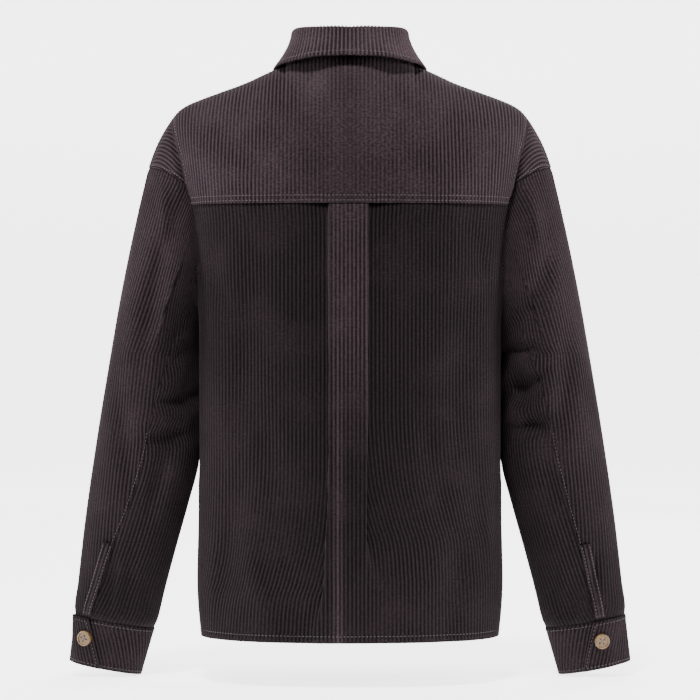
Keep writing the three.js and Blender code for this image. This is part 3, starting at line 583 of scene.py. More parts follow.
def back_yoke_row(turn, side):
    edge = crease_x(turn)
    xs = list(np.linspace(0, neck_half, 20)) + list(np.linspace(neck_half, edge, 40)[1:])
    row = [upper_point(x, turn, "back") for x in xs]
    for p in row:
        lying = ease(10, 36, p.z - yoke_seam_z) * ease(0, 22, edge - p.x) * ease(84, 60, turn)
        p.y += fold_depth(YOKE_FOLDS, side, p.x, p.z) * lying - sewn_in(p.z - yoke_seam_z)
    row += cap_points("back", turn, row[-1]) if turn > 10.3 else [row[-1].copy() for _ in range(10)]
    reach = measured(row, neck_half, "back", turn)
    return [Vector((side * p.x, p.y, p.z)) for p in row], reach


def front_yoke_row(part, side, start):
    row = []
    neck_x = mix(neck_half, front_yoke_neck_x, part)
    for out in np.linspace(0, 1, 40):
        turn = 90 - (90 - front_yoke_turn) * part * out**front_seam_curve
        row.append(upper_point(mix(neck_x, crease_x(turn), out), turn, "front"))
    cap_turn = 90 - (90 - front_yoke_turn) * part
    row += cap_points("front", cap_turn, row[-1])
    reach = measured(row, 0, "front", cap_turn)
    offset = start + (neck_x - neck_half) - reach[0]
    return [Vector((side * p.x, p.y, p.z)) for p in row], [r + offset for r in reach]


yoke_parts = []
for side in (1, -1):
    seam_turns_up = [asin(above / 172.5) * 180 / pi for above in SEAM_STEPS]
    made = [back_yoke_row(turn, side) for turn in seam_turns_up + list(np.linspace(6.5, 90, 29))]
    yoke_parts.append(sheet_part([r for r, _ in made], reaches=[m for _, m in made]))
    made = [front_yoke_row(part, side, neck_half) for part in np.linspace(0, 1, 9)]
    yoke_parts.append(sheet_part([r for r, _ in made], reaches=[m for _, m in made]))
yoke = cloth_mesh("yoke_cloth", yoke_parts)

# %% [markdown]
# ## Fronts
# The photograph shows only the back, so the fronts are the plain ones that such a garment has: a
# seam just before the shoulder, a straight closed edge, the right front lapped over the left.

# %% Make the two fronts
front_edge_x = -14
front_plain_x = 45
front_lap_x = 18


def front_upper_row(part):
    """Between the front yoke seam (part 0) and the level of the back's yoke seam (part 1)."""
    row = []
    for x in np.linspace(front_edge_x, 56, 22):
        row.append(upper_point(x, 90 * (1 - part), "front"))
    for out in np.linspace(0, 1, 36):
        top = 90 - (90 - front_yoke_turn) * out**front_seam_curve
        turn = top * (1 - part)
        row.append(upper_point(mix(front_yoke_neck_x + 5 * part, crease_x(turn), out), turn, "front"))
    turn = front_yoke_turn * (1 - part)
    row += cap_points("front", turn, row[-1]) if turn > 10.3 else [row[-1].copy() for _ in range(10)]
    reach = [0]
    for a, b in zip(row, row[1:]):
        reach.append(reach[-1] + (abs(b.x - a.x) if b.x < front_yoke_neck_x + 6 else (b - a).length))
    return row, reach


def front_lower_row(z):
    row = [Vector((x, section_depth(x, z, "front"), z)) for x in np.linspace(front_edge_x, front_plain_x, 20)]
    start, end = turn_at_x(front_plain_x, z), turn_at_edge(z, "front")
    row += [lower_point(z, "front", mix(start, end, i / 40)) for i in range(1, 41)]
    reach = [0]
    for a, b in zip(row, row[1:]):
        reach.append(reach[-1] + (b - a).length)
    return row, reach


def front_part(side, lift):
    made = [front_upper_row(part) for part in np.linspace(0, 1, 15)]
    made += [front_lower_row(z) for z in np.linspace(yoke_seam_z, hem_z, 56)[1:]]
    for row, _ in made:
        for p in row:
            shown = ease(60, 90, p.x) * ease(170, 150, p.x) * ease(yoke_seam_z, yoke_seam_z - 40, p.z)
            p.y -= fold_depth(BODY_FOLDS, -side, p.x, p.z) * shown
            p.y += lift * ease(front_plain_x, front_lap_x, p.x)
            p.x *= side
    return sheet_part([r for r, _ in made], reaches=[m for _, m in made])


front_right = cloth_mesh("front_right_cloth", [front_part(1, lap_lift)])
front_left = cloth_mesh("front_left_cloth", [front_part(-1, 0)])

# %% [markdown]
# ## Sleeves
# Each sleeve is cut as an upper and an under piece. The upper piece keeps its wales parallel to the
# sleeve's outer line and the under piece to the inner line, so the two sets meet at the back seam
# in a long narrow V, which is how the seam shows in the photograph.

# %% Rings of the sleeve
SLEEVE = {
    "z": [-699.6, -644.6, -630, -609, -580, -541, -500, -450, -390, -330],
    "x": [289.2, 278, 275.2, 271, 265.5, 257.7, 249, 238.7, 232.6, 227.6],
    "y": [38, 35, 34.3, 33, 31, 27, 24, 20, 17, 14],
    "half": [43.4, 48.2, 50.3, 51, 53, 56, 59, 61.7, 58.4, 53.4],
    "deep": [32, 36, 43, 47, 51, 55, 59, 64, 69, 72],
    "inner": [2, 2, 2, 2, 2, 2, 1.9, 1.7, 1.6, 1.6],
    "tilt": [11, 9.6, 9.4, 9, 8, 7, 6, 4, 2, 0],
}
SLEEVE_SEAM = {
    "z": [-644.6, -600, -551, -511, -444, -395, -330],
    "right": [79, 81, 84, 88, 92, 98, 117],
    "left": [57, 66, 75, 84, 92, 98, 117],
}
sleeve_top_z, cuff_seam_z, cuff_edge_z = -330, -644.6, -699.6
sleeve_lead = 0.45
underarm_ease = 0.5
front_seam_turn = -130
back_start_turn = 118
sleeve_valley = 3


def tube_point(z, turn, lift=0.0):
    """Sleeve or cuff surface by level and degrees round: 0 on the outer side, positive behind."""
    ring = {field: lookup(SLEEVE, "z", field, z) for field in SLEEVE if field != "z"}
    c, s = cos(radians(turn)), sin(radians(turn))
    power = 2 / ring["inner"] if c < 0 else 1
    across = (1 if c > 0 else -1) * abs(c) ** power * (ring["half"] + lift)
    back = (1 if s > 0 else -1) * abs(s) ** power * (ring["deep"] + lift)
    tilt = radians(ring["tilt"])
    return Vector((ring["x"] + across * cos(tilt), ring["y"] - back, z + across * sin(tilt)))


def sleeve_middle(p):
    side = 1 if p.x > 0 else -1
    return Vector((side * lookup(SLEEVE, "z", "x", p.z), lookup(SLEEVE, "z", "y", p.z), p.z))


def loop_half(face):
    """Armhole and drop seam on one face, from the underarm to the top of the shoulder."""
    levels = np.linspace(armhole_low_z, yoke_seam_z, 26)
    lower = [lower_point(z, face, turn_at_edge(z, face)) for z in levels]
    points = np.array([tuple(p) for p in lower + CREASES[face]["drop"][::-1]])
    reach = np.concatenate([[0], np.cumsum(np.linalg.norm(np.diff(points, axis=0), axis=1))])
    return points, reach / reach[-1]


LOOPS = {face: loop_half(face) for face in ("back", "front")}


def loop_point(turn):
    """A point of the armhole loop: 0 at the top of the shoulder, 180 at the underarm."""
    turn = turn - 360 if turn > 180 else turn
    points, share = LOOPS["back" if turn >= 0 else "front"]
    at = 1 - abs(turn) / 180
    return Vector([float(np.interp(at, share, points[:, k])) for k in range(3)])


print(f"underarm at {tuple(round(v) for v in loop_point(180))}")

# %% Make the sleeves
sleeve_levels = list(np.linspace(sleeve_top_z, cuff_seam_z, 36))
top_parts = np.linspace(0, 1, 27)[:-1] ** 1.15


def seam_turns(side_name, piece, z, part):
    """Degrees round the armhole loop and round the ring at a level, for a share of the piece."""
    back = lookup(SLEEVE_SEAM, "z", side_name, z)
    if piece == "upper":
        return mix(front_seam_turn, back_start_turn, part), mix(front_seam_turn, back, part)
    return mix(back_start_turn, 360 + front_seam_turn, part), mix(back, 360 + front_seam_turn, part)


def sleeve_row(side_name, piece, level, shares):
    """Points across one piece; level is (part of the top curve) or (None, height)."""
    side = 1 if side_name == "right" else -1
    row = []
    top_part, z = level
    for share in shares:
        if top_part is None:
            p = tube_point(z, seam_turns(side_name, piece, z, share)[1])
            weight = ease(armhole_low_z + 20, sleeve_top_z, z) * ease(cuff_seam_z, cuff_seam_z + 16, z)
            facing = ease(-2, -24, p.y - lookup(SLEEVE, "z", "y", z))
            p.y += sleeve_fold_strength * fold_depth(SLEEVE_FOLDS, side, p.x, p.z) * facing * weight
        else:
            loop_turn, ring_turn = seam_turns(side_name, piece, sleeve_top_z, share)
            top = loop_point(loop_turn)
            end = tube_point(sleeve_top_z, ring_turn)
            below = tube_point(sleeve_top_z - 10, seam_turns(side_name, piece, sleeve_top_z - 10, share)[1])
            control = end + (end - below).normalized() * (sleeve_lead * (end - top).length)
            control.x += underarm_ease * ease(110, 150, abs(180 - abs(180 - loop_turn)))
            p = top.lerp(control, top_part).lerp(control.lerp(end, top_part), top_part)
            inward = sleeve_valley * exp(-((((p - top).length - 4) / 5) ** 2)) * ease(0, 30, (p - top).length * 6)
            p.y += inward * ease(15, 60, loop_turn) * ease(175, 140, loop_turn)
            lying = ease(6, 24, (p - top).length) * ease(-2, -24, p.y - SLEEVE["y"][-1])
            p.y += sleeve_fold_strength * fold_depth(SLEEVE_FOLDS, side, p.x, p.z) * lying
        row.append(p)
    return row


def sleeve_parts(side_name, piece):
    """Both ways round from the line that the piece's wales follow."""
    side = 1 if side_name == "right" else -1
    levels = [(part, None) for part in top_parts] + [(None, z) for z in sleeve_levels]
    parts = []
    for end in (1, 0):
        rows = []
        for level in levels:
            z = sleeve_top_z if level[1] is None else level[1]
            back = lookup(SLEEVE_SEAM, "z", side_name, z)
            if piece == "upper":
                line = -front_seam_turn / (back - front_seam_turn)
            else:
                line = (180 - back) / (360 + front_seam_turn - back)
            rows.append(sleeve_row(side_name, piece, level, np.linspace(line, end, 48)))
        for row in rows:
            for p in row:
                p.x *= side
        parts.append(sheet_part(rows))
    return parts


sleeves = []
for side_name in ("right", "left"):
    for piece in ("upper", "under"):
        name = f"sleeve_{piece}_{side_name}"
        sleeves.append(cloth_mesh(f"{name}_cloth", sleeve_parts(side_name, piece), inside=sleeve_middle, edges_in=True))
print(f"{len(sleeves)} sleeve pieces")

# %% [markdown]
# ## Cuffs and the strips at the slits
# Each cuff is a straight band whose ends lap, and it is sewn on over the sleeve's gathered end. A
# narrow strip binds the slit above it. On both, the wales run down as on the sleeve.

# %% Make cuffs and strips
CUFF_LAP = {
    "right": {"above": 82, "below": 110, "button": 76},
    "left": {"above": 54, "below": 85, "button": 55},
}
cuff_overlap = 30
slit_top_z = -553
placket_turn = 12
placket_gap = 1.1


def mirrored(points, side):
    return [Vector((side * p.x, p.y, p.z)) for p in points]


def side_of(side_name):
    return 1 if side_name == "right" else -1


def cuff_point(side_name, part, down, lift=0.0):
    """On the cuff: part goes from the free outer end right round, down from seam to edge."""
    lap = CUFF_LAP[side_name]
    turned = part * (360 + cuff_overlap)
    over = lap_lift * ease(cuff_overlap + 35, cuff_overlap + 5, turned)
    z = mix(cuff_seam_z, cuff_edge_z, down)
    return tube_point(z, mix(lap["above"], lap["below"], down) - turned, over + lift)


def strip_point(side_name, part, down, lift=0.0):
    """On the strip beside the slit, from its edge at the slit (part 0) to its sewn edge (part 1)."""
    z = mix(slit_top_z, cuff_seam_z + 4, down)
    seam = lookup(SLEEVE_SEAM, "z", side_name, z)
    p = tube_point(z, seam - 1 - placket_turn * part, cloth_thickness + placket_gap + lift)
    folded = fold_depth(SLEEVE_FOLDS, side_of(side_name), p.x, p.z) * ease(cuff_seam_z, cuff_seam_z + 16, z)
    p.y += sleeve_fold_strength * folded
    return p


def reach_of(row):
    return [0.0] + list(np.cumsum([(b - a).length for a, b in zip(row, row[1:])]))


cuffs = []
for side_name in ("right", "left"):
    side = side_of(side_name)
    shares = np.linspace(0, 1, 120)
    rows = [[cuff_point(side_name, part, down) for part in shares] for down in np.linspace(0.006, 1, 10)]
    rows = [mirrored(row, side) for row in rows]
    reach = reach_of(rows[len(rows) // 2])
    cuffs.append(cloth_mesh(f"cuff_{side_name}_cloth", [sheet_part(rows, reaches=[reach] * len(rows))], inside=sleeve_middle))
    shares = np.linspace(0, 1, 5)
    rows = [[strip_point(side_name, part, down) for part in shares] for down in np.linspace(0, 1, 14)]
    rows = [mirrored(row, side) for row in rows]
    reach = reach_of(rows[-1])
    name = f"sleeve_placket_{side_name}_cloth"
    cuffs.append(cloth_mesh(name, [sheet_part(rows, reaches=[reach] * len(rows))], inside=sleeve_middle))

# %% [markdown]
# ## Collar
# A shirt collar is two pieces: a stand round the neck, and a fall sewn to its top that rolls over
# and down outside it. Their wales run up and down at the back and turn with the neck.

# %% Measures round the neck
COLLAR = {
    "turn": [0, 30, 50, 70, 90, 110, 130, 150, 165, 176, 190],
    "stand": [21.5, 25.5, 30, 34, 34.5, 31, 27, 25, 23, 22, 22],
    "lean": [3, 5, 9, 14, 15, 13, 10, 8, 7, 6, 6],
    "roll": [3.5, 3.5, 3.6, 3.8, 4, 4, 4, 3.8, 3.6, 3.5, 3.5],
    "x": [0, 43, 64, 81, 88.5, 90, 88, 76, 64, 56, 56],
    "y": [-80, -73, -58, -34, -4, 26, 56, 84, 104, 108, 108],
    "z": [13.5, 12, 9, 6.5, 4.5, 0, -15, -43, -76, -88, -88],
}
fall_relief = 0.85
collar_end_turn, stand_end_turn = 170, 189
stand_lap_lift, stand_foot_gap, fall_gap, collar_clear = 2.8, 0.8, 1.1, 3


def chest_y(x, z):
    top = top_at_x(x, "front")
    if z >= top.z:
        return 0
    rise = (z - yoke_seam_z) / (top.z - yoke_seam_z)
    return upper_point(x, asin(max(rise, 0)) * 180 / pi, "front").y


def collar_measures(turn):
    at = {field: lookup(COLLAR, "turn", field, abs(turn)) for field in COLLAR if field != "turn"}
    at["x"] *= -1 if turn < 0 else 1
    if abs(turn) > 100:
        at["y"] = max(at["y"], chest_y(at["x"], at["z"]) + collar_clear)
    return at


def outward_at(turn):
    return Vector((sin(radians(turn)), -cos(radians(turn)), 0))


def stand_point(turn, part):
    at = collar_measures(turn)
    face = "back" if cos(radians(turn)) >= 0 else "front"
    lap = stand_lap_lift * ease(148, 166, turn)
    base = neck_at_x(neck_half * sin(radians(turn)), face)
    base = base + outward_at(turn) * (lap - cloth_thickness / 2 - at["lean"] * part)
    return base + Vector((0, 0, mix(stand_foot_gap, at["stand"], part)))


def fall_points(turn):
    """Down the fall at one place round the neck: start, roll and slope."""
    at = collar_measures(turn)
    outward = outward_at(turn)
    start = stand_point(turn, 1) + Vector((0, 0, fall_gap))
    points = [start]
    for i in range(1, 9):
        a = pi * i / 8
        points.append(start + outward * at["roll"] * (1 - cos(a)) + Vector((0, 0, 1 + at["roll"] * sin(a))))
    shoulder = points[-1]
    edge = Vector((at["x"], at["y"], at["z"]))
    drop = Vector((shoulder.x, shoulder.y, mix(shoulder.z, edge.z, 0.4))) + outward * 1.5
    for i in range(1, 13):
        part = i / 12
        points.append(shoulder.lerp(drop, part).lerp(drop.lerp(edge, part), part))
    return points


# %% Make stand and fall
def round_the_neck(make_column, end_turn, measure_row):
    """Both halves of a collar piece, columns at equal steps of one of its rows."""
    parts = []
    for side in (1, -1):
        lines = [make_column(side * turn) for turn in np.linspace(0, end_turn, 110)]
        rows = [list(row) for row in zip(*lines)]
        reach = reach_of(rows[measure_row])
        parts.append(sheet_part(rows, reaches=[reach] * len(rows)))
    return parts


def stand_column(turn):
    return [stand_point(turn, part) for part in np.linspace(1, 0, 6)]


half_cloth = cloth_thickness / 2
collar_stand = cloth_mesh("collar_stand_cloth", round_the_neck(stand_column, stand_end_turn, 3), proud=half_cloth)
collar_fall = cloth_mesh("collar_fall_cloth", round_the_neck(fall_points, collar_end_turn, 12), proud=half_cloth, relief=fall_relief)

# %% [markdown]
# ## Topstitching
# The garment is sewn through in rows of thread that show as a light dash on each wale. A stitch is
# only a small long bead, so we make one icosphere for each, turned along its row. The rows are found
# on the same surfaces as the cloth.

# %% Rows of stitches
stitch_pitch = 4.3
stitch_half = 1.6
thread_radius = 0.48


def along_line(points, gap):
    """Places at equal gaps along a line, each with the line's direction there."""
    path = np.array([tuple(p) for p in points])
    reach = np.concatenate([[0], np.cumsum(np.linalg.norm(np.diff(path, axis=0), axis=1))])
    places = []
    for at in np.arange(gap / 2, reach[-1], gap):
        p, q = (
            Vector([float(np.interp(at + e, reach, path[:, k])) for k in range(3)]) for e in (-0.4, 0.4)
        )
        if (q - p).length > 1e-6:
            places.append(((p + q) / 2, (q - p).normalized()))
    return places


def stitches(name, lines, inside, both_sides=True):
    bm = bmesh.new()
    count = 0
    for line in lines:
        for at, along in along_line(line, stitch_pitch):
            out = (at - inside(at)).normalized()
            across = along.cross(out).normalized()
            out = across.cross(along)
            for side in (1, -1) if both_sides else (1,):
                turn = Matrix((along * stitch_half, across * thread_radius, out * thread_radius)).transposed()
                place = Matrix.Translation(at + out * 0.1) @ turn.to_4x4()
                if side < 0:
                    place = Matrix.Diagonal((-1, 1, 1, 1)) @ place
                bmesh.ops.create_icosphere(bm, subdivisions=1, radius=1, matrix=place)
                count += 1
    bmesh.ops.recalc_face_normals(bm, faces=bm.faces)
    for face in bm.faces:
        face.smooth = True
    bmesh.ops.scale(bm, vec=(MM, MM, MM), verts=bm.verts)
    mesh = bpy.data.meshes.new(name)
    bm.to_mesh(mesh)
    bm.free()
    piece = bpy.data.objects.new(name, mesh)
    scene.collection.objects.link(piece)
    print(f"{name}: {count} stitches")
    return piece


# %% Sew yoke, hem, armholes and front
hem_row = 8
edge_row = 3
strap_rows = (6, 34)
crease_row_in = 2.5


def yoke_stitch_line(above):
    line = []
    for x in np.linspace(0, 184, 60):
        top = top_at_x(x, "back")
        turn = asin(above / (top.z - yoke_seam_z)) * 180 / pi
        p = upper_point(x, turn, "back")
        p.y -= sewn_in(above) + stitch_pinch * 0.5
        line.append(p)
    return line


def cut_back(row, gap):
    """A line moved in by a gap from its ends: the point at that distance before the last."""
    reach = reach_of(row)
    at = reach[-1] - gap
    return Vector([float(np.interp(at, reach, [p[k] for p in row])) for k in range(3)])


hem_height = hem_z + hem_row
armhole_levels = np.linspace(armhole_low_z + 4, yoke_seam_z - 2, 24)
yoke_turns = np.linspace(90, 14, 24)
sewn_yoke = stitches("yoke_stitches", [yoke_stitch_line(above) for above in YOKE_ROWS_ABOVE_SEAM], body_middle)
back_lines = {}
for side in (1, -1):
    hem_line = [Vector((abs(p.x), p.y - half_cloth, p.z)) for p in back_row(side, hem_height)]
    armhole = [cut_back(mirrored(back_row(side, z), side), edge_row) for z in armhole_levels]
    back_lines[side] = [mirrored(hem_line, side), mirrored(armhole, side)]
sewn_back = stitches("back_stitches", back_lines[1] + back_lines[-1], body_middle, both_sides=False)
cap_lines = [
    [upper_point(crease_x(turn) - crease_row_in, turn, "back") for turn in np.linspace(72, 10.3, 40)],
    [cut_back([p for p in back_yoke_row(turn, 1)[0]], edge_row) for turn in yoke_turns],
    [cut_back(front_yoke_row(part, 1, neck_half)[0], edge_row) for part in np.linspace(0, 1, 9)],
]
sewn_caps = stitches("shoulder_stitches", cap_lines, body_middle)

front_lines = []
for side, lift in ((1, lap_lift), (-1, 0)):
    raised = [Vector((p.x, p.y + lift * ease(front_plain_x, front_lap_x, p.x), p.z)) for p in front_lower_row(hem_height)[0]]
    front_lines.append(mirrored(raised, side))
for out in strap_rows:
    line = []
    for z in np.linspace(-70, hem_z + 1, 80):
        x = front_edge_x + out
        y = chest_y(x, z) if z > yoke_seam_z else section_depth(x, z, "front")
        line.append(Vector((x, y + lap_lift * ease(front_plain_x, front_lap_x, x), z)))
    front_lines.append(line)
sewn_fronts = stitches("front_stitches", front_lines, body_middle, both_sides=False)

# %% Sew collar, cuffs and strips
collar_row_in = 6.3
cuff_rows_down = (0.07, 0.93)
seam_row_turn = 3
seam_row_top_z = -420


def fall_stitch_point(turn, sink):
    return cut_back(fall_points(turn), sink) + outward_at(turn) * half_cloth


def sleeve_seam_stitch(side_name, z):
    p = tube_point(z, lookup(SLEEVE_SEAM, "z", side_name, z) - seam_row_turn)
    p.y += sleeve_fold_strength * fold_depth(SLEEVE_FOLDS, side_of(side_name), p.x, p.z)
    return p


collar_lines = [[fall_stitch_point(turn, collar_row_in) for turn in np.linspace(0, collar_end_turn - 5, 120)]]
sewn_collar = stitches("collar_stitches", collar_lines, body_middle)
sewn_sleeves = []
for side_name in ("right", "left"):
    side = side_of(side_name)
    lines = [
        mirrored([cuff_point(side_name, part, down) for part in np.linspace(0.008, 0.92, 120)], side)
        for down in cuff_rows_down
    ]
    lines.append(mirrored([cuff_point(side_name, 0.008, down) for down in np.linspace(0.07, 0.93, 12)], side))
    for part in (0.12, 0.88):
        lines.append(mirrored([strip_point(side_name, part, down) for down in np.linspace(0.02, 0.98, 16)], side))
    lines.append(mirrored([sleeve_seam_stitch(side_name, z) for z in np.linspace(seam_row_top_z, slit_top_z, 30)], side))
    name = f"cuff_stitches_{side_name}"
    sewn_sleeves.append(stitches(name, lines, sleeve_middle, both_sides=False))

# %% [markdown]
# ## Buttons
# The solid buttons have the right size and four real holes, so they stay. A real one is dished: a
# raised rim runs round it. We spin a small circle into that rim and lay crossed thread on each.

# %% Rims and threads
button_radius, button_thickness, button_gap, button_hole_spread = 9, 2.6, 0.5, 2.3
rim_radius = 1.15
FRONT_BUTTON_Z = (-92, -188, -284, -380, -476, -572)
stand_button_rise = 11
cuff_button_at = 0.42


def front_outer_point(x, z):
    y = chest_y(x, z) if z > yoke_seam_z else section_depth(x, z, "front")
    return Vector((x, y + lap_lift, z))


def facing(at, besides, below):
    return (besides - at).cross(below - at).normalized()


button_places = {}
for i, z in enumerate(FRONT_BUTTON_Z):
    at = front_outer_point(0, z)
    button_places[f"front_button_{i + 1}"] = (at, facing(at, front_outer_point(1, z), front_outer_point(0, z - 4)))
stand_at = stand_point(180, stand_button_rise / COLLAR["stand"][-1]) + Vector((0, half_cloth, 0))
stand_normal = Vector((0, 1, lookup(COLLAR, "turn", "lean", 180) / COLLAR["stand"][0])).normalized()
button_places["stand_button"] = (stand_at, stand_normal)
for side_name in ("right", "left"):
    lap = CUFF_LAP[side_name]
    part = (mix(lap["above"], lap["below"], cuff_button_at) - lap["button"]) / (360 + cuff_overlap)
    at = cuff_point(side_name, part, cuff_button_at)
    normal = facing(at, cuff_point(side_name, part - 0.005, cuff_button_at), cuff_point(side_name, part, cuff_button_at + 0.02))
    side = side_of(side_name)
    button_places[f"cuff_button_{side_name}"] = tuple(Vector((side * v.x, v.y, v.z)) for v in (at, normal))


def on_button(at, normal, height):
    turn = Vector((0, 0, 1)).rotation_difference(normal).to_matrix().to_4x4()
    return Matrix.Translation(at + normal * (button_gap + height)) @ turn


def from_bmesh(name, bm):
    bmesh.ops.recalc_face_normals(bm, faces=bm.faces)
    for face in bm.faces:
        face.smooth = True
    bmesh.ops.scale(bm, vec=(MM, MM, MM), verts=bm.verts)
    mesh = bpy.data.meshes.new(name)
    bm.to_mesh(mesh)
    bm.free()
    piece = bpy.data.objects.new(name, mesh)
    scene.collection.objects.link(piece)
    return piece


rims, threads = bmesh.new(), bmesh.new()
for at, normal in button_places.values():
    place = on_button(at, normal, button_thickness)
    ring = Matrix.Translation((button_radius - rim_radius, 0, 0)) @ Matrix.Rotation(pi / 2, 4, "X")
    circle = bmesh.ops.create_circle(rims, segments=10, radius=rim_radius, matrix=place @ ring)
    edges = list({edge for v in circle["verts"] for edge in v.link_edges})
    axis = (place.to_3x3() @ Vector((0, 0, 1))).normalized()
    geom = circle["verts"] + edges
    bmesh.ops.spin(rims, geom=geom, cent=place.translation, axis=axis, angle=2 * pi, steps=36, use_merge=True)
    for turned in (pi / 4, -pi / 4):
        size = Matrix.Diagonal((button_hole_spread * 1.6, 0.5, 0.45, 1))
        lie = on_button(at, normal, button_thickness + 0.1) @ Matrix.Rotation(turned, 4, "Z") @ size
        bmesh.ops.create_icosphere(threads, subdivisions=2, radius=1, matrix=lie)
button_rims = from_bmesh("button_rims", rims)
button_threads = from_bmesh("button_threads", threads)
print(f"{len(button_places)} buttons")

# %% [markdown]
# ## Finishes
# Corduroy is painted dark in the grooves, for the shade that falls into them, and light on the ribs, where the pile
# stands up and catches light.
# The colour follows the same wave as the relief, read from the UV map, with streaks along the ribs,
# a fine nap, slow patches, painted shade that deepens lower down the garment and a soft sheen.

# %% A short way to write shader maths
class Value:
    def __init__(self, tree, socket):
        self.tree = tree
        self.socket = socket

    def math(self, operation, a, b=None):
        node = self.tree.nodes.new("ShaderNodeMath")
        node.operation = operation
        for slot, value in zip(node.inputs, (a, b)):
            if isinstance(value, Value):
                self.tree.links.new(value.socket, slot)
            elif value is not None:
                slot.default_value = value
        return Value(self.tree, node.outputs[0])

    def __add__(self, other):
        return self.math("ADD", self, other)

    def __sub__(self, other):
        return self.math("SUBTRACT", self, other)

    def __rsub__(self, other):
        return self.math("SUBTRACT", other, self)

    def __mul__(self, other):
        return self.math("MULTIPLY", self, other)

    def __pow__(self, other):
        return self.math("POWER", self, other)

    __radd__, __rmul__ = __add__, __mul__

    def cosine(self):
        return self.math("COSINE", self)

    def size(self):
        return self.math("ABSOLUTE", self)

    def clamped(self):
        return self.math("MINIMUM", self.math("MAXIMUM", self, 0.0), 1.0)


class Finish:
    """A material whose nodes are made by one method: type, settings, then sockets."""

    def __init__(self, name):
        self.material = bpy.data.materials.new(name)
        self.material.use_nodes = True
        self.tree = self.material.node_tree
        self.shader = self.tree.nodes["Principled BSDF"]

    def node(self, kind, settings=None, output=0, **sockets):
        made = self.tree.nodes.new(kind)
        for key, value in (settings or {}).items():
            setattr(made, key, value)
        for key, value in sockets.items():
            self.feed(made.inputs[key.replace("_", " ")], value)
        return Value(self.tree, made.outputs[output])

    def feed(self, socket, value):
        if isinstance(value, Value):
            self.tree.links.new(value.socket, socket)
        else:
            socket.default_value = value

    def shade(self, **sockets):
        for key, value in sockets.items():
            self.feed(self.shader.inputs[key.replace("_", " ")], value)

    def blend(self, factor, a, b, how="MIX"):
        made = self.tree.nodes.new("ShaderNodeMix")
        made.data_type = "RGBA"
        made.blend_type = how
        for socket, value in zip((made.inputs[0], made.inputs[6], made.inputs[7]), (factor, a, b)):
            self.feed(socket, value)
        return Value(self.tree, made.outputs[2])


# %% Corduroy, thread and horn
# The groove colour is painted shade in the grooves between the ribs; the rib colour is the pile on their tops.
groove_shade_color = (0.0090, 0.0064, 0.0075, 1)
rib_color = (0.030, 0.0212, 0.0244, 1)
worn_color = (0.070, 0.0490, 0.0570, 1)


def corduroy(name, lightness, shade_by_height=0.5, box_painted_highlight=1.0, brushed_middle=0.0):
    """The third argument is painted shade, how much each metre lower darkens the cloth where less of the light from
    above falls; the fourth is a painted highlight on the box pleat; the yoke is brushed flat in its middle and made
    darker there.
    """
    finish = Finish(name)
    uv = finish.node("ShaderNodeUVMap", {"uv_map": "Cloth"})
    place = finish.node("ShaderNodeTexCoord", output=3)
    sideways = finish.node("ShaderNodeSeparateXYZ", Vector=place)
    height = finish.node("ShaderNodeSeparateXYZ", output=2, Vector=place)
    parts = finish.node("ShaderNodeSeparateXYZ", Vector=uv)
    rib = (parts * (2 * pi / (wale_pitch * MM))).cosine() * 0.5 + 0.5
    streak_at = finish.node("ShaderNodeMapping", Vector=uv, Scale=(900, 160, 1))
    streak = finish.node("ShaderNodeTexNoise", Vector=streak_at, Scale=1.0, Detail=3.0)
    hatch_at = finish.node("ShaderNodeMapping", Vector=uv, Scale=(260, 420, 1))
    hatch = finish.node("ShaderNodeTexNoise", Vector=hatch_at, Scale=1.0, Detail=2.0)
    wear = finish.node("ShaderNodeTexNoise", Vector=place, Scale=22.0, Detail=3.0)
    patch = finish.node("ShaderNodeTexNoise", Vector=place, Scale=7.0, Detail=2.0)
    nap = finish.node("ShaderNodeTexNoise", Vector=place, Scale=1500.0, Detail=2.0)
    pile = (rib**0.8 + (streak - 0.5) * 0.5 + (hatch - 0.5) * 1.0).clamped()
    color = finish.blend(pile, groove_shade_color, rib_color)
    color = finish.blend((rib**4 * streak * 0.75).clamped(), color, worn_color)
    near_middle = (1 - sideways.size() * 9).clamped() * brushed_middle
    flattened = ((wear - 0.5) * 2.5 + near_middle + 0.1).clamped() * 0.8
    color = finish.blend(flattened, color, finish.blend(hatch, groove_shade_color, worn_color))
    # Painted highlight on the box pleat: the box is lightened all across high up, and lower down only in a strip left
    # of the middle, where the key light from the upper left catches it.
    high = ((height + 0.45) * 7).clamped()
    ridge = (1 - (sideways + 0.0135).size() * 110).clamped()
    box = ((0.0235 - parts) * 500).clamped() * (high + (1 - high) * ridge) * (box_painted_highlight - 1) + 1
    # Painted shade from the light above: the cloth is made darker the lower it hangs, by the third argument's share per
    # metre.
    level = (patch * 0.7 + nap * 0.4 + hatch * 0.8 + 0.05) * lightness * box * ((height - middle_height) * shade_by_height + 1)
    level = level * (1 - near_middle * 0.3)
    color = finish.blend(1.0, color, finish.node("ShaderNodeCombineColor", Red=level, Green=level, Blue=level), "MULTIPLY")
    bump = finish.node("ShaderNodeBump", Height=nap * 0.5 + streak + hatch * 0.8, Strength=0.5, Distance=0.0004)
    finish.shade(Base_Color=color, Roughness=0.95, Normal=bump)
    finish.shade(Sheen_Weight=0.035, Sheen_Roughness=0.4, Sheen_Tint=(0.9, 0.7, 0.78, 1))
    finish.shade(Specular_IOR_Level=0.06)
    return finish.material


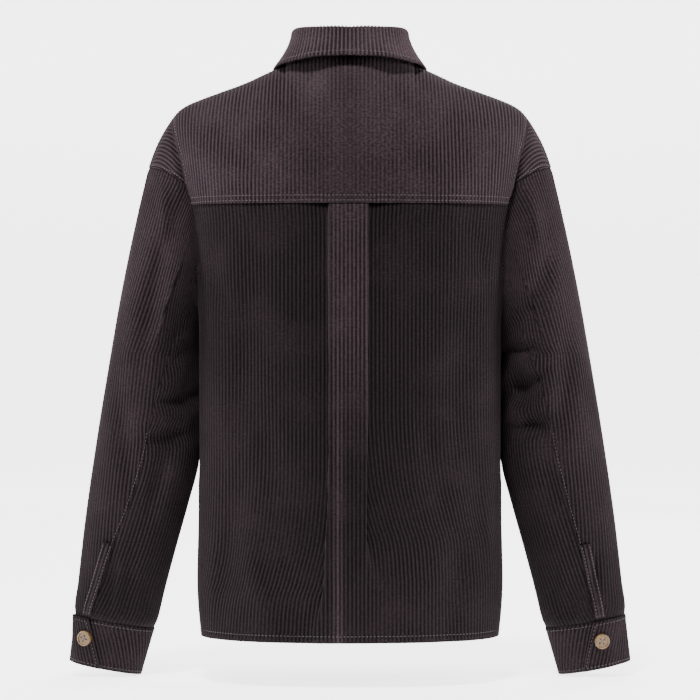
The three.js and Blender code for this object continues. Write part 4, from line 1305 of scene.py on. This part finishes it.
# One corduroy: the second argument sets its own dark tone and adds painted light and shade between panels. The yoke and
# collar are painted lighter where they face the light from above, the back darkest, and the sleeves get a stronger
# painted shade lower down.
back_cloth = corduroy("corduroy_back", 0.42, box_painted_highlight=2.2)
front_cloth = corduroy("corduroy_front", 0.50)
sleeve_cloth = corduroy("corduroy_sleeve", 0.66, shade_by_height=1.7)
cuff_cloth = corduroy("corduroy_cuff", 0.64)
upper_cloth = corduroy("corduroy_yoke", 1.04, brushed_middle=0.9)
collar_cloth = corduroy("corduroy_collar", 1.25)


def thread(name, low, high):
    finish = Finish(name)
    twist = finish.node("ShaderNodeTexNoise", Vector=finish.node("ShaderNodeTexCoord", output=3), Scale=900.0)
    finish.shade(Base_Color=finish.blend(twist, low, high), Roughness=0.8)
    return finish.material


pale_thread = thread("thread", (0.060, 0.046, 0.050, 1), (0.115, 0.092, 0.098, 1))
# A darker copy of the same thread: painted shade for the rows on the lower back, fronts and sleeves, away from the
# light above that the yoke, shoulders and collar catch.
painted_shade_thread = thread("thread_painted_shade", (0.030, 0.022, 0.025, 1), (0.064, 0.049, 0.054, 1))

horn = Finish("horn")
horn_place = horn.node("ShaderNodeTexCoord", output=3)
cloud = horn.node("ShaderNodeTexNoise", Vector=horn_place, Scale=160.0, Detail=3.0, Distortion=1.2)
horn_color = horn.blend(cloud**2, (0.022, 0.009, 0.002, 1), (0.30, 0.165, 0.040, 1))
horn.shade(Base_Color=horn_color, Roughness=cloud * 0.2 + 0.3, Coat_Weight=0.12)
print("9 finishes")

# %% [markdown]
# ## Put it together
# Each cloth piece takes the place of its solid and rides on the garment's one body; the size it is
# cut to is measured from its UV map and printed. The stitches and rims ride with it.

CUT = {
    "back_panel": (back_panel, back_cloth, (0.55, 0.50), 0.262, "yoke_cloth"),
    "yoke": (yoke, upper_cloth, (0.64, 0.21), 0.103, "collar_stand_cloth"),
    "front_right": (front_right, front_cloth, (0.31, 0.66), 0.159, "yoke_cloth"),
    "front_left": (front_left, front_cloth, (0.31, 0.66), 0.159, "yoke_cloth"),
    "collar_stand": (collar_stand, collar_cloth, (0.49, 0.034), 0.0125, "yoke_cloth"),
    "collar_fall": (collar_fall, collar_cloth, (0.48, 0.058), 0.027, "collar_stand_cloth"),
}
for name, piece in zip(("upper_right", "under_right", "upper_left", "under_left"), sleeves):
    size, area = ((0.30, 0.54), 0.117) if "upper" in name else ((0.16, 0.40), 0.055)
    CUT[f"sleeve_{name}"] = (piece, sleeve_cloth, size, area, "yoke_cloth")
for side_name, (cuff, strip) in zip(("right", "left"), (cuffs[:2], cuffs[2:])):
    CUT[f"cuff_{side_name}"] = (cuff, cuff_cloth, (0.275, 0.056), None, f"sleeve_upper_{side_name}_cloth")
    CUT[f"sleeve_placket_{side_name}"] = (strip, cuff_cloth, (0.012, 0.092), None, f"sleeve_upper_{side_name}_cloth")
for node_name, (piece, finish, flat, area, hangs_from) in CUT.items():
    piece.data.materials.append(finish)
    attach(piece, "root")
    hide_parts(node_name)
    bm = bmesh.new()
    bm.from_mesh(piece.data)
    cloth_area = sum(face.calc_area() for face in bm.faces)
    uvs = [loop[bm.loops.layers.uv["Cloth"]].uv for face in bm.faces for loop in face.loops]
    wide = max(uv.x for uv in uvs) - min(uv.x for uv in uvs)
    long_ = max(uv.y for uv in uvs)
    bm.free()
    print(f"{node_name}: cut {wide:.3f} x {long_:.3f} m, area {cloth_area:.4f} of {wide * long_:.4f}")
for piece in (sewn_yoke, sewn_back, sewn_caps, sewn_fronts, sewn_collar, *sewn_sleeves, button_threads):
    # The rows lower down take the painted-shade copy of the thread.
    piece.data.materials.append(painted_shade_thread if piece in (sewn_back, sewn_fronts, *sewn_sleeves) else pale_thread)
    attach(piece, "root")
button_rims.data.materials.append(horn.material)
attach(button_rims, "root")
for node_name in button_places:
    nodes[node_name].data.materials.clear()
    nodes[node_name].data.materials.append(horn.material)

# %% [markdown]
# ## Studio
# A pale floor that turns up into a backdrop, a broad light above the camera and a fill on each side.

# %% Floor, lights and world
floor_z = cad_bounds[0].z - 0.001
floor_near, floor_far, backdrop_high, cove = -0.7, 4.6, 4, 1.2


def cove_point(across, part):
    """A place on floor and backdrop: part runs from the near edge back, round the cove and up."""
    lengths = (floor_far - floor_near, cove * pi / 2, backdrop_high)
    at = part * sum(lengths)
    if at < lengths[0]:
        return Vector((across, floor_near + at, floor_z))
    if at < lengths[0] + lengths[1]:
        a = (at - lengths[0]) / cove
        return Vector((across, floor_far + cove * sin(a), floor_z + cove * (1 - cos(a))))
    return Vector((across, floor_far + cove, floor_z + cove + at - lengths[0] - lengths[1]))


bm = bmesh.new()
for v in bmesh.ops.create_grid(bm, x_segments=2, y_segments=80, size=1)["verts"]:
    v.co = cove_point(v.co.x * 6, (v.co.y + 1) / 2)
for face in bm.faces:
    face.smooth = True
bmesh.ops.recalc_face_normals(bm, faces=bm.faces)
floor_mesh = bpy.data.meshes.new("floor")
bm.to_mesh(floor_mesh)
bm.free()
floor = bpy.data.objects.new("floor", floor_mesh)
scene.collection.objects.link(floor)
pale = Finish("pale_floor")
pale.shade(Base_Color=(0.9, 0.9, 0.9, 1), Roughness=0.9, Emission_Color=(1, 1, 1, 1), Emission_Strength=3.0)
floor_mesh.materials.append(pale.material)


def softbox(name, place, aim, size, power):
    light = bpy.data.lights.new(name, "AREA")
    light.shape = "DISK"
    light.size = size
    light.energy = power
    lamp = bpy.data.objects.new(name, light)
    lamp.location = place
    lamp.rotation_euler = (Vector(aim) - Vector(place)).to_track_quat("-Z", "Y").to_euler()
    scene.collection.objects.link(lamp)


middle = (0, 0, middle_height)
softbox("key", (-0.35, -1.5, 2.5), (0, 0, -0.15), 0.6, 150)
softbox("fill_left", (-2.6, -0.2, 0.2), middle, 0.9, 60)
softbox("fill_right", (2.6, -0.2, 0.2), middle, 0.9, 70)
softbox("fill_front", (0.8, 2.8, 1.2), middle, 1.8, 50)
world = bpy.data.worlds.new("studio")
world.use_nodes = True
backdrop = world.node_tree.nodes["Background"]
backdrop.inputs["Color"].default_value = (1, 1, 1, 1)
sees = world.node_tree.nodes.new("ShaderNodeLightPath")
strength = Value(world.node_tree, sees.outputs["Is Camera Ray"]) * 3.0 + 0.15
world.node_tree.links.new(strength.socket, backdrop.inputs["Strength"])
scene.world = world
